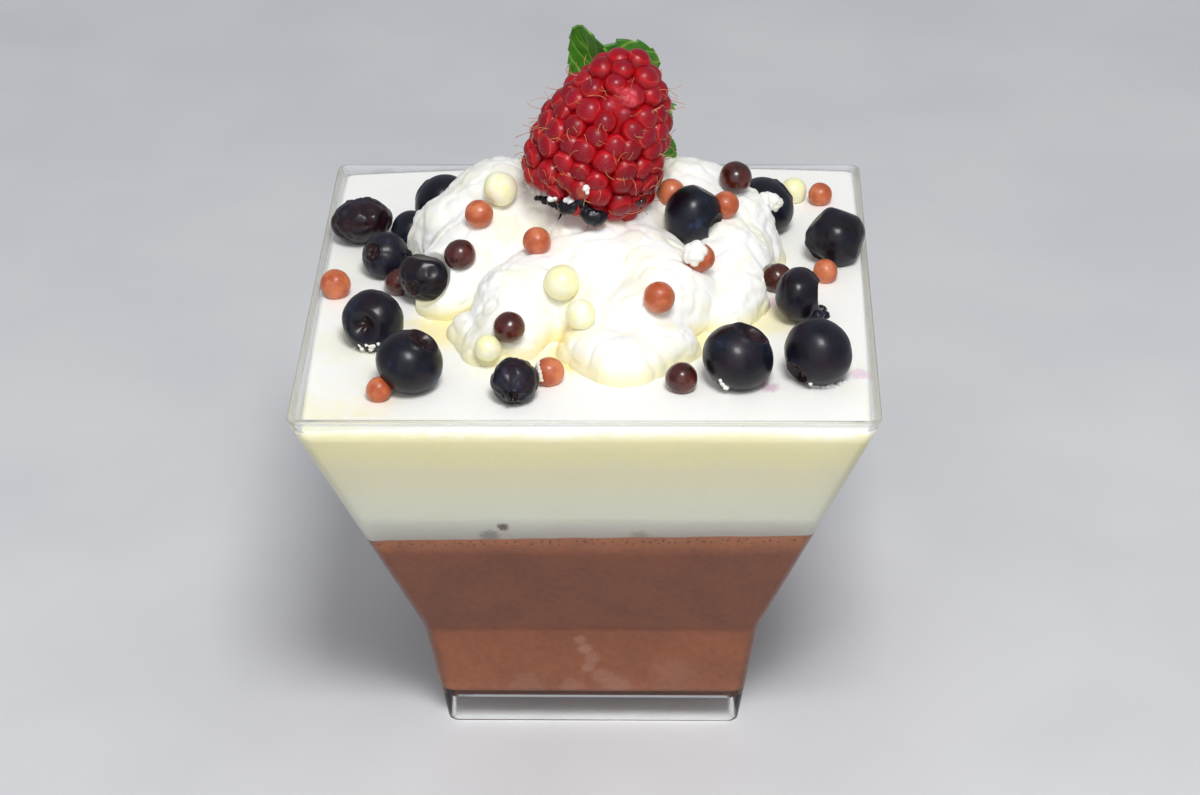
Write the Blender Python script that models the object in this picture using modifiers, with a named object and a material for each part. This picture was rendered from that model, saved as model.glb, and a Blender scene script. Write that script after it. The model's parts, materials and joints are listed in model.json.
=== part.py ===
"""A square cup of layered mousse, topped with whipped cream, berries, pearls and mint leaves.

Units are metres, +Z is up, and the origin is the middle of the foot, where the cup stands.
"""

import math
import random

import bmesh
import bpy
from mathutils import Matrix, Vector, noise
from mathutils.bvhtree import BVHTree

MM = 0.001
MERGE = 0.01 * MM

# Cup: four flat walls that flare above a kink, a floor, and a hollow foot below it
RIM_WIDTH = 80.0 * MM
KINK_WIDTH = 47.8 * MM
FOOT_WIDTH = 42.4 * MM
CUP_HEIGHT = 61.2 * MM
KINK_HEIGHT = 17.6 * MM
KINK_REACH = 1.5 * MM
KINK_RINGS = (-1.0, -0.35, 0.35, 1.0)
WALL = 1.0 * MM
CORNER_RADIUS = 1.6 * MM
INNER_CORNER_RADIUS = 0.8 * MM
CORNER_STEPS = 3
FLOOR_TOP = 5.6 * MM
FLOOR_UNDERSIDE = 4.6 * MM
FLOOR_FILLET = 0.8 * MM
FOOT_WALL_TOP = 1.4 * MM
FOOT_WALL_BOTTOM = 0.8 * MM
CUTTER_REACH = 5.0 * MM

# Neighbouring solids stay this far apart
GAP = 0.3 * MM

# Mousse: chocolate below a slightly tilted boundary, vanilla above it with a soft dome
CHOCOLATE_LEVEL = 37.7 * MM
CHOCOLATE_SLOPE = 0.023
VANILLA_LEVEL = 60.5 * MM
VANILLA_SLOPE_X = 0.007
VANILLA_SLOPE_Y = 0.013
VANILLA_DOME = 0.4 * MM
VANILLA_CORNER_DROP = 0.8 * MM
VANILLA_RINGS = (0.8, 0.55, 0.25)
MOUSSE_HALF = 38.5 * MM

# Whipped cream: soft tongues, each a run of balls (x, y, z, radius in millimetres)
CREAM_TONGUES = {
    "left_mass": ((-7, 16, 62.5, 9.5), (-13, 12, 64, 10.5), (-17.5, 10, 62.5, 8.8), (-22, 11.5, 61.5, 6.4)),
    "right_mass": ((8, 15, 63, 10), (13, 12, 64, 10.5), (18, 10.5, 63.5, 8.8), (21.5, 8, 61.5, 6.3)),
    "back_mass": ((-8, 22, 60, 8), (2, 22, 61.5, 9), (12, 22, 60.5, 8)),
    "heart": ((-3, 9, 65.5, 9.5), (3, 8, 65.5, 9.5), (0, 0, 63.5, 9.5), (0, -9, 59.5, 8.8)),
    "left_tongue": ((-14, 6, 64, 8), (-18.5, -1.5, 62.5, 6.8), (-20.5, -5.5, 61.5, 4.6)),
    "front_left_tongue": ((-4, -2, 62.5, 7.5), (-9.5, -10, 62.5, 7), (-11, -17, 61, 5.2)),
    "front_left_ledge": ((-16, -14, 59.5, 4.2), (-14, -19, 59, 4.2)),
    "front_right_tongue": ((7, -3, 63.5, 8), (11, -9, 62.5, 7.5), (7, -14, 61.5, 6.5)),
    "front_ledge": ((0, -19, 60, 4.8), (5, -23.5, 59.8, 5.4), (11, -19, 60, 5)),
    "right_tongue": ((19, 3, 62.5, 7.5), (20.2, -4, 61.5, 6), (18.8, -9.5, 60, 4.8)),
}
TONGUE_STEPS = 6
TONGUE_BALL = (20, 12)
CREAM_VOXEL = 1.1 * MM
CREAM_SMOOTHING = 5
CREAM_LUMP = 0.5 * MM
CREAM_LUMP_PITCH = 6.0 * MM
CREAM_TRIANGLES = 1300
# How far the cutter for the cream's underside spreads past the vanilla's edge
GROUND_SPREAD = 1.2

# Blueberries: centre x, y, z and width in millimetres, height over width, how far the crown
# leans from upright and its compass heading in degrees, how wrinkled the berry is, and the
# crown's width over the berry's
BLUEBERRIES = {
    "blueberry_01": (-34.2, 15.5, 63.6, 9.6, 0.72, 25, 110, 1.0, 0.36),
    "blueberry_02": (-22.5, 19.5, 64.5, 8.8, 0.88, 70, 150, 0.0, 0.42),
    "blueberry_03": (-26.5, 12.0, 63.4, 6.6, 0.90, 100, 200, 0.0, 0.42),
    "blueberry_04": (-29.8, 4.5, 63.4, 7.0, 0.95, 57, 233, 0.3, 0.38),
    "blueberry_05": (-23.7, -4.0, 64.3, 7.9, 0.80, 95, 244, 0.8, 0.30),
    "blueberry_06": (-30.0, -15.5, 63.5, 8.9, 0.90, 75, 250, 0.2, 0.62),
    "blueberry_07": (-24.0, -28.0, 63.9, 9.4, 0.90, 31, 0, 0.0, 0.48),
    "blueberry_08": (-9.5, -31.5, 62.9, 6.8, 0.95, 100, 268, 0.8, 0.26),
    "blueberry_09": (14.5, 2.5, 71.2, 8.5, 0.93, 104, 330, 0.0, 0.44),
    "blueberry_10": (25.0, 18.0, 64.7, 9.0, 0.92, 60, 30, 0.0, 0.42),
    "blueberry_11": (35.2, 8.8, 64.3, 9.0, 0.98, 120, 200, 0.3, 0.42),
    "blueberry_12": (29.4, -9.4, 64.5, 7.9, 0.84, 85, 350, 0.3, 0.50),
    "blueberry_13": (31.8, -14.0, 61.9, 3.2, 0.92, 120, 90, 0.0, 0.42),
    "blueberry_14": (20.7, -27.0, 64.2, 9.9, 0.90, 27, 12, 0.0, 0.52),
    "blueberry_15": (31.6, -25.6, 64.2, 9.6, 0.94, 112, 224, 0.1, 0.40),
    "blueberry_16": (-2.2, 1.5, 69.0, 8.0, 0.90, 60, 180, 0.3, 0.42),
}
# The soft berry with a dent in its side, and the ball that presses it
DENTED_BERRY = "blueberry_12"
DENT_CENTRE = Vector((35.3, -8.8, 64.5)) * MM
DENT_WIDTH = 7.1 * MM
DENT_BALL = (16, 10)
BERRY_SEGMENTS = 10
BERRY_STEPS = 6
BERRY_DENT = 0.14
BERRY_DENT_PITCH = 0.45
BERRY_LUMP = 0.02
BERRY_LUMP_PITCH = 0.77
BERRY_ROOM = 1.4 * GAP
POCKET_BALL = (10, 6)
# The crown, in shares of its own width: how deep it is, how wide its floor is, how far the
# middle of the floor lies below the floor's edge, and where the shoulder starts outside it
CROWN_DEPTH = 0.44
CROWN_FLOOR_WIDTH = 0.62
CROWN_DISH = 0.08
CROWN_END = 1.27
# The rim stands proud of the round berry by this share of half the berry's height
CROWN_SWELLING = 0.035
STEM_END = 0.98
STEM_ANGLE = 0.35

# Chocolate and sugar pearls: x, y and width in millimetres, and their kind
PEARLS_ON_MOUSSE = (
    (-36.5, -1.5, 4.4, "milk"),
    (-28.0, -30.5, 3.5, "milk"),
    (-5.0, -27.0, 4.1, "milk"),
    (33.5, 27.0, 3.6, "milk"),
    (33.5, 2.1, 3.6, "milk"),
    (13.0, -29.0, 4.4, "dark"),
    (26.5, -0.7, 4.3, "dark"),
    (-27.5, -1.0, 4.1, "dark"),
    (29.5, 28.0, 4.0, "white"),
)
PEARLS_ON_CREAM = (
    (-15.5, 1.5, 4.1, "milk"),
    (-7.0, -6.0, 4.0, "milk"),
    (9.5, -17.0, 4.4, "milk"),
    (15.0, -8.5, 4.1, "milk"),
    (11.5, 6.5, 4.1, "milk"),
    (18.5, 5.0, 4.0, "milk"),
    (-18.5, -5.0, 4.5, "dark"),
    (-10.5, -20.0, 4.4, "dark"),
    (20.0, 10.0, 4.7, "dark"),
    (-13.0, 6.0, 4.9, "white"),
    (-3.5, -12.5, 5.0, "white"),
    (-0.5, -18.5, 4.3, "white"),
    (-13.5, -21.5, 3.8, "white"),
)
PEARL_SINK = 0.12
PEARL_BALL = (8, 5)
# Rays that find the surface under a pearl start above everything
RAY_START = 200.0 * MM

# Raspberry: rows of drupelets round a leaning axis
RASPBERRY_BASE = Vector((-2.0, 4.5, 73.1)) * MM
RASPBERRY_LEAN = (9.8, 0.5, 23.0)
RASPBERRY_LENGTH = 24.2 * MM
RASPBERRY_RADIUS = 9.8 * MM
RASPBERRY_WIDEST = 0.25
RASPBERRY_MOUTH = 0.20
RASPBERRY_TAPER = 1.85
RASPBERRY_STEPS = 6
RASPBERRY_LOW_RINGS = (0.15, 0.02)
CORE_SEGMENTS = 12
RASPBERRY_POCKET_SEGMENTS = 20
RASPBERRY_ROOM = 0.85 * MM + GAP
DRUPELET_WIDTH = 3.3 * MM
DRUPELET_PROUD = 0.32
DRUPELET_FIRST_ROW = 0.055
DRUPELET_ROW_PITCH = 0.9
DRUPELET_SPACING = 1.04
DRUPELET_WIDTHS = (0.88, 1.04)
DRUPELET_SHIFT = 0.12
DRUPELET_LIFT = 0.3 * MM
# The drupelets' long axes spread from this point of the axis, and this much up and down it
DRUPELET_CENTRE = 0.42
DRUPELET_SPREAD = 0.8
DRUPELET_BALL = (6, 3)
DRUPELET_SEED = 5

# Mint leaves: foot, bend and tip in millimetres, width, fold, and which way the face looks
LEAVES = {
    "leaf_left": ((5.0, 18.0, 71.0), (1.4, 17.5, 86.0), (-2.0, 15.5, 94.6), 9.0, 0.30, 262),
    "leaf_back": ((4.6, 20.0, 70.5), (1.8, 18.5, 88.0), (9.2, 22.0, 84.8), 15.5, 0.12, 272),
    "leaf_right": ((8.8, 16.6, 69.5), (11.0, 16.6, 73.5), (10.4, 16.2, 77.4), 3.8, 0.10, 285),
}
LEAF_THICKNESS = 0.45 * MM
LEAF_LENGTHWISE = 10
LEAF_ACROSS = 4
LEAF_TOOTH = 0.3 * MM
LEAF_WAVE = 0.03
LEAF_WAVES = 1.5
# The blade's outline is part of a sine's arch: where it starts, how much it covers, its lean and fullness
LEAF_START = 0.04
LEAF_COVER = 0.93
LEAF_FOOTWARD = 0.8
LEAF_FULLNESS = 0.7


def start_clean():
    """Removes whatever the file holds before the cup is modelled."""
    for thing in list(bpy.data.objects):
        bpy.data.objects.remove(thing, do_unlink=True)


def new_collection(name):
    """A collection linked to the scene."""
    collection = bpy.data.collections.new(name)
    bpy.context.scene.collection.children.link(collection)
    return collection


def new_material(name, colour, roughness, alpha=1.0):
    """A plain Principled finish."""
    material = bpy.data.materials.new(name)
    material.use_nodes = True
    shader = material.node_tree.nodes["Principled BSDF"]
    shader.inputs["Base Color"].default_value = (*colour, 1.0)
    shader.inputs["Roughness"].default_value = roughness
    shader.inputs["Metallic"].default_value = 0.0
    shader.inputs["Alpha"].default_value = alpha
    return material


def new_object(name, source, collection, material=None):
    """An object from a mesh or a bmesh, in a collection, with its material."""
    mesh = source
    if isinstance(source, bmesh.types.BMesh):
        mesh = bpy.data.meshes.new(name)
        source.to_mesh(mesh)
        source.free()
    thing = bpy.data.objects.new(name, mesh)
    collection.objects.link(thing)
    if material:
        mesh.materials.append(material)
    return thing


def apply_modifiers(thing):
    """Turns an object's modifiers into plain mesh."""
    bpy.context.view_layer.update()
    evaluated = thing.evaluated_get(bpy.context.evaluated_depsgraph_get())
    mesh = bpy.data.meshes.new_from_object(evaluated)
    thing.modifiers.clear()
    thing.data = mesh


def keep_largest_shell(thing):
    """Fills the hollows that joining has sealed, and drops loose scraps."""
    solid = bmesh.new()
    solid.from_mesh(thing.data)
    waiting = set(solid.verts)
    shells = []
    while waiting:
        shell, edge_of_shell = set(), [waiting.pop()]
        while edge_of_shell:
            vertex = edge_of_shell.pop()
            shell.add(vertex)
            for edge in vertex.link_edges:
                other = edge.other_vert(vertex)
                if other in waiting:
                    waiting.remove(other)
                    edge_of_shell.append(other)
        shells.append(shell)
    largest = max(shells, key=len)
    for shell in shells:
        if shell is not largest:
            bmesh.ops.delete(solid, geom=list(shell), context="VERTS")
    solid.to_mesh(thing.data)
    solid.free()


def combine(thing, others, operation, solver="EXACT"):
    """Joins other objects to a thing, or cuts them from it, and removes them."""
    operands = new_collection("operands")
    for other in others:
        for home in list(other.users_collection):
            home.objects.unlink(other)
        operands.objects.link(other)
        other.hide_render = True
        other.display_type = "WIRE"
    modifier = thing.modifiers.new(operation.title(), "BOOLEAN")
    modifier.operation = operation
    modifier.operand_type = "COLLECTION"
    modifier.collection = operands
    modifier.solver = solver
    apply_modifiers(thing)
    keep_largest_shell(thing)
    for other in others:
        bpy.data.objects.remove(other, do_unlink=True)
    bpy.data.collections.remove(operands)


def loft(name, rings, collection, material=None):
    """A closed solid through rings of equally many points, capped at both ends."""
    solid = bmesh.new()
    loops = [[solid.verts.new(point) for point in ring] for ring in rings]
    for lower, upper in zip(loops, loops[1:]):
        for here in range(len(lower)):
            there = (here + 1) % len(lower)
            solid.faces.new((lower[here], lower[there], upper[there], upper[here]))
    solid.faces.new(list(reversed(loops[0])))
    solid.faces.new(loops[-1])
    return new_object(name, solid, collection, material)


def outer_half(z):
    """Half the cup's outer width at height z, eased round the kink."""
    foot, kink, rim = FOOT_WIDTH / 2, KINK_WIDTH / 2, RIM_WIDTH / 2
    below = (kink - foot) / KINK_HEIGHT
    above = (rim - kink) / (CUP_HEIGHT - KINK_HEIGHT)
    past = z - KINK_HEIGHT
    if abs(past) >= KINK_REACH:
        return kink + past * (below if past < 0 else above)
    blend = (past + KINK_REACH) / (2 * KINK_REACH)
    start, end = kink - KINK_REACH * below, kink + KINK_REACH * above
    return (1 - blend) ** 2 * start + 2 * blend * (1 - blend) * kink + blend ** 2 * end


def square_ring(half, radius, height):
    """Points round a square with round corners, anticlockwise from above."""
    points = []
    for corner in range(4):
        turn = Matrix.Rotation(math.radians(90 * corner), 3, "Z")
        for step in range(CORNER_STEPS + 1):
            angle = math.radians(90 * step / CORNER_STEPS)
            offset = half - radius
            point = Vector((offset + radius * math.cos(angle), offset + radius * math.sin(angle), height))
            points.append(turn @ point)
    return points


def kink_heights(low, high):
    """The heights of the rings that the eased kink needs, between two ends."""
    eased = [KINK_HEIGHT + KINK_REACH * part for part in KINK_RINGS]
    return [low, *eased, high]


def cup(collection, material):
    """The clear cup: an outer form less its bowl and less the hollow under its floor."""
    outside = [square_ring(outer_half(z), CORNER_RADIUS, z) for z in kink_heights(0.0, CUP_HEIGHT)]
    body = loft("cup", outside, collection, material)

    bowl = [square_ring(outer_half(FLOOR_TOP) - WALL - FLOOR_FILLET, INNER_CORNER_RADIUS, FLOOR_TOP)]
    for z in kink_heights(FLOOR_TOP + FLOOR_FILLET, CUP_HEIGHT + CUTTER_REACH):
        bowl.append(square_ring(outer_half(z) - WALL, INNER_CORNER_RADIUS, z))

    slant = (FOOT_WALL_TOP - FOOT_WALL_BOTTOM) / FLOOR_UNDERSIDE
    hollow = []
    for z in (-CUTTER_REACH, FLOOR_UNDERSIDE):
        half = outer_half(z) - FOOT_WALL_BOTTOM - slant * z
        hollow.append(square_ring(half, INNER_CORNER_RADIUS, z))

    cutters = [loft("bowl", bowl, collection), loft("hollow", hollow, collection)]
    combine(body, cutters, "DIFFERENCE")
    return body


def vanilla_top(x, y):
    """Height of the vanilla mousse's surface."""
    across, along = x / MOUSSE_HALF, y / MOUSSE_HALF
    dome = VANILLA_DOME * (1 - across ** 2) * (1 - along ** 2)
    corners = VANILLA_CORNER_DROP * (across * along) ** 2
    return VANILLA_LEVEL + VANILLA_SLOPE_X * x + VANILLA_SLOPE_Y * y + dome - corners


def top_ring(lift):
    """The vanilla's edge against the wall, raised by lift."""
    ring = []
    half = outer_half(VANILLA_LEVEL) - WALL - GAP
    for start in square_ring(half, INNER_CORNER_RADIUS, 0.0):
        x, y = start.x, start.y
        height = vanilla_top(x, y)
        scale = (outer_half(height) - WALL - GAP) / half
        ring.append(Vector((x * scale, y * scale, height + lift)))
    return ring


def inward_rings(edge, lift):
    """Rings from the edge to the middle of the vanilla's surface."""
    rings = []
    for scale in VANILLA_RINGS:
        places = [(point.x * scale, point.y * scale) for point in edge]
        rings.append([Vector((x, y, vanilla_top(x, y) + lift)) for x, y in places])
    return rings


def layers(collection, chocolate, vanilla):
    """The two mousse layers: one block that fills the bowl, cut in two along the boundary."""
    low = FLOOR_TOP + GAP
    edge = top_ring(0.0)
    rings = [square_ring(outer_half(low) - WALL - GAP - FLOOR_FILLET, INNER_CORNER_RADIUS, low)]
    for z in kink_heights(low + FLOOR_FILLET, CHOCOLATE_LEVEL):
        rings.append(square_ring(outer_half(z) - WALL - GAP, INNER_CORNER_RADIUS, z))
    rings += [edge, *inward_rings(edge, 0.0)]

    normal = Vector((-CHOCOLATE_SLOPE, 0.0, 1.0)).normalized()
    made = []
    for name, material, side in (("chocolate_mousse", chocolate, -1), ("vanilla_mousse", vanilla, 1)):
        block = loft(name, rings, collection, material)
        solid = bmesh.new()
        solid.from_mesh(block.data)
        cut = bmesh.ops.bisect_plane(
            solid,
            geom=[*solid.verts, *solid.edges, *solid.faces],
            plane_co=Vector((0.0, 0.0, CHOCOLATE_LEVEL)) + normal * side * GAP / 2,
            plane_no=normal * -side,
            clear_outer=True,
        )
        edges = [item for item in cut["geom_cut"] if isinstance(item, bmesh.types.BMEdge)]
        bmesh.ops.edgeloop_fill(solid, edges=edges)
        bmesh.ops.recalc_face_normals(solid, faces=solid.faces)
        solid.to_mesh(block.data)
        solid.free()
        made.append(block)
    return made


def ball(name, centre, width, collection, segments, rings, matrix=None):
    """A sphere, or an ellipsoid where a matrix is given."""
    solid = bmesh.new()
    place = Matrix.Translation(centre) @ (matrix or Matrix())
    bmesh.ops.create_uvsphere(solid, u_segments=segments, v_segments=rings, radius=width / 2, matrix=place)
    return new_object(name, solid, collection)


def whipped_cream(collection, material):
    """Tongues of cream melted into one another, soft and a little lumpy."""
    model = ball("model_ball", Vector(), 2.0, collection, *TONGUE_BALL)
    solid = bmesh.new()
    for tongue in CREAM_TONGUES.values():
        for start, end in zip(tongue, tongue[1:]):
            for step in range(TONGUE_STEPS + 1):
                x, y, z, radius = Vector(start).lerp(Vector(end), step / TONGUE_STEPS)
                copy = model.data.copy()
                copy.transform(Matrix.Translation(Vector((x, y, z)) * MM) @ Matrix.Scale(radius * MM, 4))
                solid.from_mesh(copy)
                bpy.data.meshes.remove(copy)
    bpy.data.objects.remove(model, do_unlink=True)
    cream = new_object("whipped_cream", solid, collection, material)
    remesh = cream.modifiers.new("Melt", "REMESH")
    remesh.mode = "VOXEL"
    remesh.voxel_size = CREAM_VOXEL
    smooth = cream.modifiers.new("Soften", "SMOOTH")
    smooth.iterations = CREAM_SMOOTHING
    apply_modifiers(cream)

    vertices = cream.data.vertices
    moves = [v.normal * CREAM_LUMP * noise.noise(v.co / CREAM_LUMP_PITCH) for v in vertices]
    for vertex, move in zip(vertices, moves):
        vertex.co += move
    cream.data.update()
    decimate = cream.modifiers.new("Thin out", "DECIMATE")
    decimate.ratio = CREAM_TRIANGLES / (2 * len(cream.data.polygons))
    apply_modifiers(cream)
    return cream


def ground_block(collection):
    """The space of the vanilla mousse and below, grown by the gap, to cut the cream's underside."""
    edge = []
    for point in top_ring(GAP):
        edge.append(Vector((point.x * GROUND_SPREAD, point.y * GROUND_SPREAD, point.z)))
    low = [Vector((point.x, point.y, 0.0)) for point in edge]
    inner = top_ring(GAP)
    return loft("ground", [low, edge, inner, *inward_rings(inner, GAP)], collection)


def berry_profile(width, aspect, crown):
    """Half outline of a blueberry from the middle of its crown to its stem end."""
    radius, half = width / 2, width * aspect / 2
    rim = math.sqrt(1 - crown ** 2) + CROWN_SWELLING
    floor = rim - CROWN_DEPTH * crown
    outline = [
        (0.0, (floor - CROWN_DISH * crown) * half),
        (CROWN_FLOOR_WIDTH * crown * radius, floor * half),
        (crown * radius, rim * half),
    ]
    shoulder = math.asin(CROWN_END * crown)
    for step in range(BERRY_STEPS):
        angle = shoulder + (math.pi - shoulder - STEM_ANGLE) * step / (BERRY_STEPS - 1)
        outline.append((radius * math.sin(angle), half * math.cos(angle)))
    outline.append((0.0, -half * STEM_END))
    return outline


def screwed(name, outline, segments, collection, material=None):
    """A solid turned from a half outline that runs from top to bottom."""
    wire = bmesh.new()
    points = [wire.verts.new((x, 0.0, z)) for x, z in outline]
    for start, end in zip(points, points[1:]):
        wire.edges.new((start, end))
    thing = new_object(name, wire, collection, material)
    screw = thing.modifiers.new("Turn", "SCREW")
    screw.steps = segments
    screw.render_steps = segments
    screw.use_merge_vertices = True
    screw.merge_threshold = MERGE
    apply_modifiers(thing)
    return thing


def berry_place(spec):
    """Where a blueberry's own frame sits, with its crown leaning to its heading."""
    x, y, z, _, _, lean, heading, _, _ = spec
    turn = Matrix.Rotation(math.radians(heading), 4, "Z") @ Matrix.Rotation(math.radians(lean), 4, "Y")
    return Matrix.Translation(Vector((x, y, z)) * MM) @ turn


def blueberry(name, spec, collection, material):
    """A blueberry with its sunken crown, dented and wrinkled where it has shrunk."""
    width, aspect, wrinkle, crown = spec[3] * MM, spec[4], spec[7], spec[8]
    berry = screwed(name, berry_profile(width, aspect, crown), BERRY_SEGMENTS, collection, material)
    offset = Vector((spec[0], spec[1], spec[2]))
    for vertex in berry.data.vertices:
        direction = vertex.co.normalized()
        lump = noise.noise(direction / BERRY_LUMP_PITCH + offset)
        dent = max(0.0, noise.noise(direction / BERRY_DENT_PITCH - offset))
        vertex.co *= 1 + BERRY_LUMP * lump - BERRY_DENT * wrinkle * dent
    berry.data.transform(berry_place(spec))
    return berry


def berry_pocket(name, spec, collection):
    """The room that a blueberry needs in what it is sunk in."""
    width, aspect = spec[3] * MM, spec[4]
    grown = width / 2 + BERRY_ROOM
    squash = Matrix.Diagonal((1.0, 1.0, (width * aspect / 2 + BERRY_ROOM) / grown, 1.0))
    pocket = ball(name, Vector(), 2 * grown, collection, *POCKET_BALL, squash)
    pocket.data.transform(berry_place(spec))
    return pocket


def raspberry_radius(along):
    """The raspberry's outline: its radius at a fraction of its length from the open end."""
    if along < RASPBERRY_WIDEST:
        below = 1 - along / RASPBERRY_WIDEST
        return RASPBERRY_RADIUS * (1 - RASPBERRY_MOUTH * below ** 2)
    reach = (along - RASPBERRY_WIDEST) / (1 - RASPBERRY_WIDEST)
    return RASPBERRY_RADIUS * math.sqrt(max(0.0, 1 - reach ** RASPBERRY_TAPER))


def raspberry_matrix():
    """Turns the raspberry's own frame, open end at the origin, to where it leans in the cream."""
    lean = Vector(RASPBERRY_LEAN).to_track_quat("Z", "Y").to_matrix().to_4x4()
    return Matrix.Translation(RASPBERRY_BASE) @ lean


def raspberry_outline(grow):
    """Half outline from tip to open end, grown or shrunk by a distance."""
    outline = [(0.0, RASPBERRY_LENGTH + grow)]
    for step in range(1, RASPBERRY_STEPS):
        angle = math.pi / 2 * step / (RASPBERRY_STEPS - 1)
        along = RASPBERRY_WIDEST + (1 - RASPBERRY_WIDEST) * math.cos(angle)
        outline.append((raspberry_radius(along) + grow, RASPBERRY_LENGTH * along))
    for along in RASPBERRY_LOW_RINGS:
        outline.append((raspberry_radius(along) + grow, RASPBERRY_LENGTH * along - grow))
    outline.append((0.0, -grow))
    return outline


def drupelet_spots():
    """Centre, outward direction and width of each drupelet, in rows from open end to tip."""
    draw = random.Random(DRUPELET_SEED)
    inset = DRUPELET_WIDTH * (1 - DRUPELET_PROUD) / 2
    middle = RASPBERRY_LENGTH * DRUPELET_CENTRE
    samples = 200
    spots = []
    walked, row = 0.0, 0
    before = None
    for step in range(samples + 1):
        along = DRUPELET_FIRST_ROW + (1 - DRUPELET_FIRST_ROW) * step / samples
        radius = max(0.0, raspberry_radius(along) - inset)
        here = Vector((radius, (RASPBERRY_LENGTH - inset) * along))
        if before is not None:
            walked += (here - before).length
        before = here
        if walked < row * DRUPELET_WIDTH * DRUPELET_ROW_PITCH:
            continue
        count = max(1, round(2 * math.pi * radius / (DRUPELET_WIDTH * DRUPELET_SPACING)))
        for index in range(count):
            shift = 0.5 * (row % 2) + draw.uniform(-DRUPELET_SHIFT, DRUPELET_SHIFT)
            turn = 2 * math.pi * (index + shift) / count
            height = here.y + draw.uniform(-DRUPELET_LIFT, DRUPELET_LIFT)
            spot = Vector((radius * math.cos(turn), radius * math.sin(turn), height))
            outward = Vector((spot.x, spot.y, (spot.z - middle) * DRUPELET_SPREAD)).normalized()
            spots.append((spot, outward, DRUPELET_WIDTH * draw.uniform(*DRUPELET_WIDTHS)))
        row += 1
    return spots


def raspberry(collection, material):
    """A raspberry: a core with drupelets joined on, leaning in the cream."""
    outline = raspberry_outline(-DRUPELET_WIDTH / 2)
    core = screwed("raspberry", outline, CORE_SEGMENTS, collection, material)
    drupelets = []
    for spot, outward, width in drupelet_spots():
        turn = outward.to_track_quat("Z", "Y").to_matrix().to_4x4()
        drupelets.append(ball("drupelet", spot, width, collection, *DRUPELET_BALL, turn))
    combine(core, drupelets, "UNION", "MANIFOLD")
    core.data.transform(raspberry_matrix())
    return core


def raspberry_pocket(collection):
    """The hollow that the raspberry presses into the cream."""
    outline = raspberry_outline(RASPBERRY_ROOM)
    pocket = screwed("raspberry_pocket", outline, RASPBERRY_POCKET_SEGMENTS, collection)
    pocket.data.transform(raspberry_matrix())
    return pocket


def leaf(name, spec, grow, collection, material=None):
    """A toothed mint leaf, folded along its midrib and curled at its tip."""
    foot, bend, tip = (Vector(point) * MM for point in spec[:3])
    width, fold, heading = spec[3] * MM, spec[4], math.radians(spec[5])
    look = Vector((math.cos(heading), math.sin(heading), 0.0))
    length = (tip - foot).length
    surface = bmesh.new()
    rows = []
    for step in range(LEAF_LENGTHWISE + 1):
        along = step / LEAF_LENGTHWISE
        spine = foot * (1 - along) ** 2 + bend * 2 * along * (1 - along) + tip * along ** 2
        run = (bend - foot) * (1 - along) + (tip - bend) * along
        side = run.cross(look).normalized()
        face = side.cross(run).normalized()
        arch = math.sin(math.pi * (LEAF_START + LEAF_COVER * along) ** LEAF_FOOTWARD)
        half = width / 2 * arch ** LEAF_FULLNESS
        tooth = LEAF_TOOTH * (1 if step % 2 else -1)
        row = []
        for column in range(LEAF_ACROSS + 1):
            across = 2 * column / LEAF_ACROSS - 1
            reach = half + tooth + grow if abs(across) == 1 else half
            wave = LEAF_WAVE * length * math.sin(2 * math.pi * LEAF_WAVES * along) * across
            lift = abs(across) * half * fold + wave
            row.append(surface.verts.new(spine + side * across * reach + face * lift))
        rows.append(row)
    for low, high in zip(rows, rows[1:]):
        for column in range(LEAF_ACROSS):
            surface.faces.new((low[column], low[column + 1], high[column + 1], high[column]))
    bmesh.ops.triangulate(surface, faces=surface.faces)
    blade = new_object(name, surface, collection, material)
    solidify = blade.modifiers.new("Thickness", "SOLIDIFY")
    solidify.thickness = LEAF_THICKNESS + 2 * grow
    solidify.offset = 0.0
    apply_modifiers(blade)
    return blade


def pearl_balls(spots, ground, grow, collection):
    """Pearls pressed a little into the surface below them."""
    tree = BVHTree.FromPolygons(
        [vertex.co.copy() for vertex in ground.data.vertices],
        [tuple(face.vertices) for face in ground.data.polygons],
    )
    balls = []
    for x, y, width, kind in spots:
        above = Vector((x * MM, y * MM, RAY_START))
        hit, normal, _, _ = tree.ray_cast(above, Vector((0.0, 0.0, -1.0)))
        centre = hit + normal * width * MM * (0.5 - PEARL_SINK)
        balls.append(ball(f"{kind}_pearl", centre, width * MM + 2 * grow, collection, *PEARL_BALL))
    return balls


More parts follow.
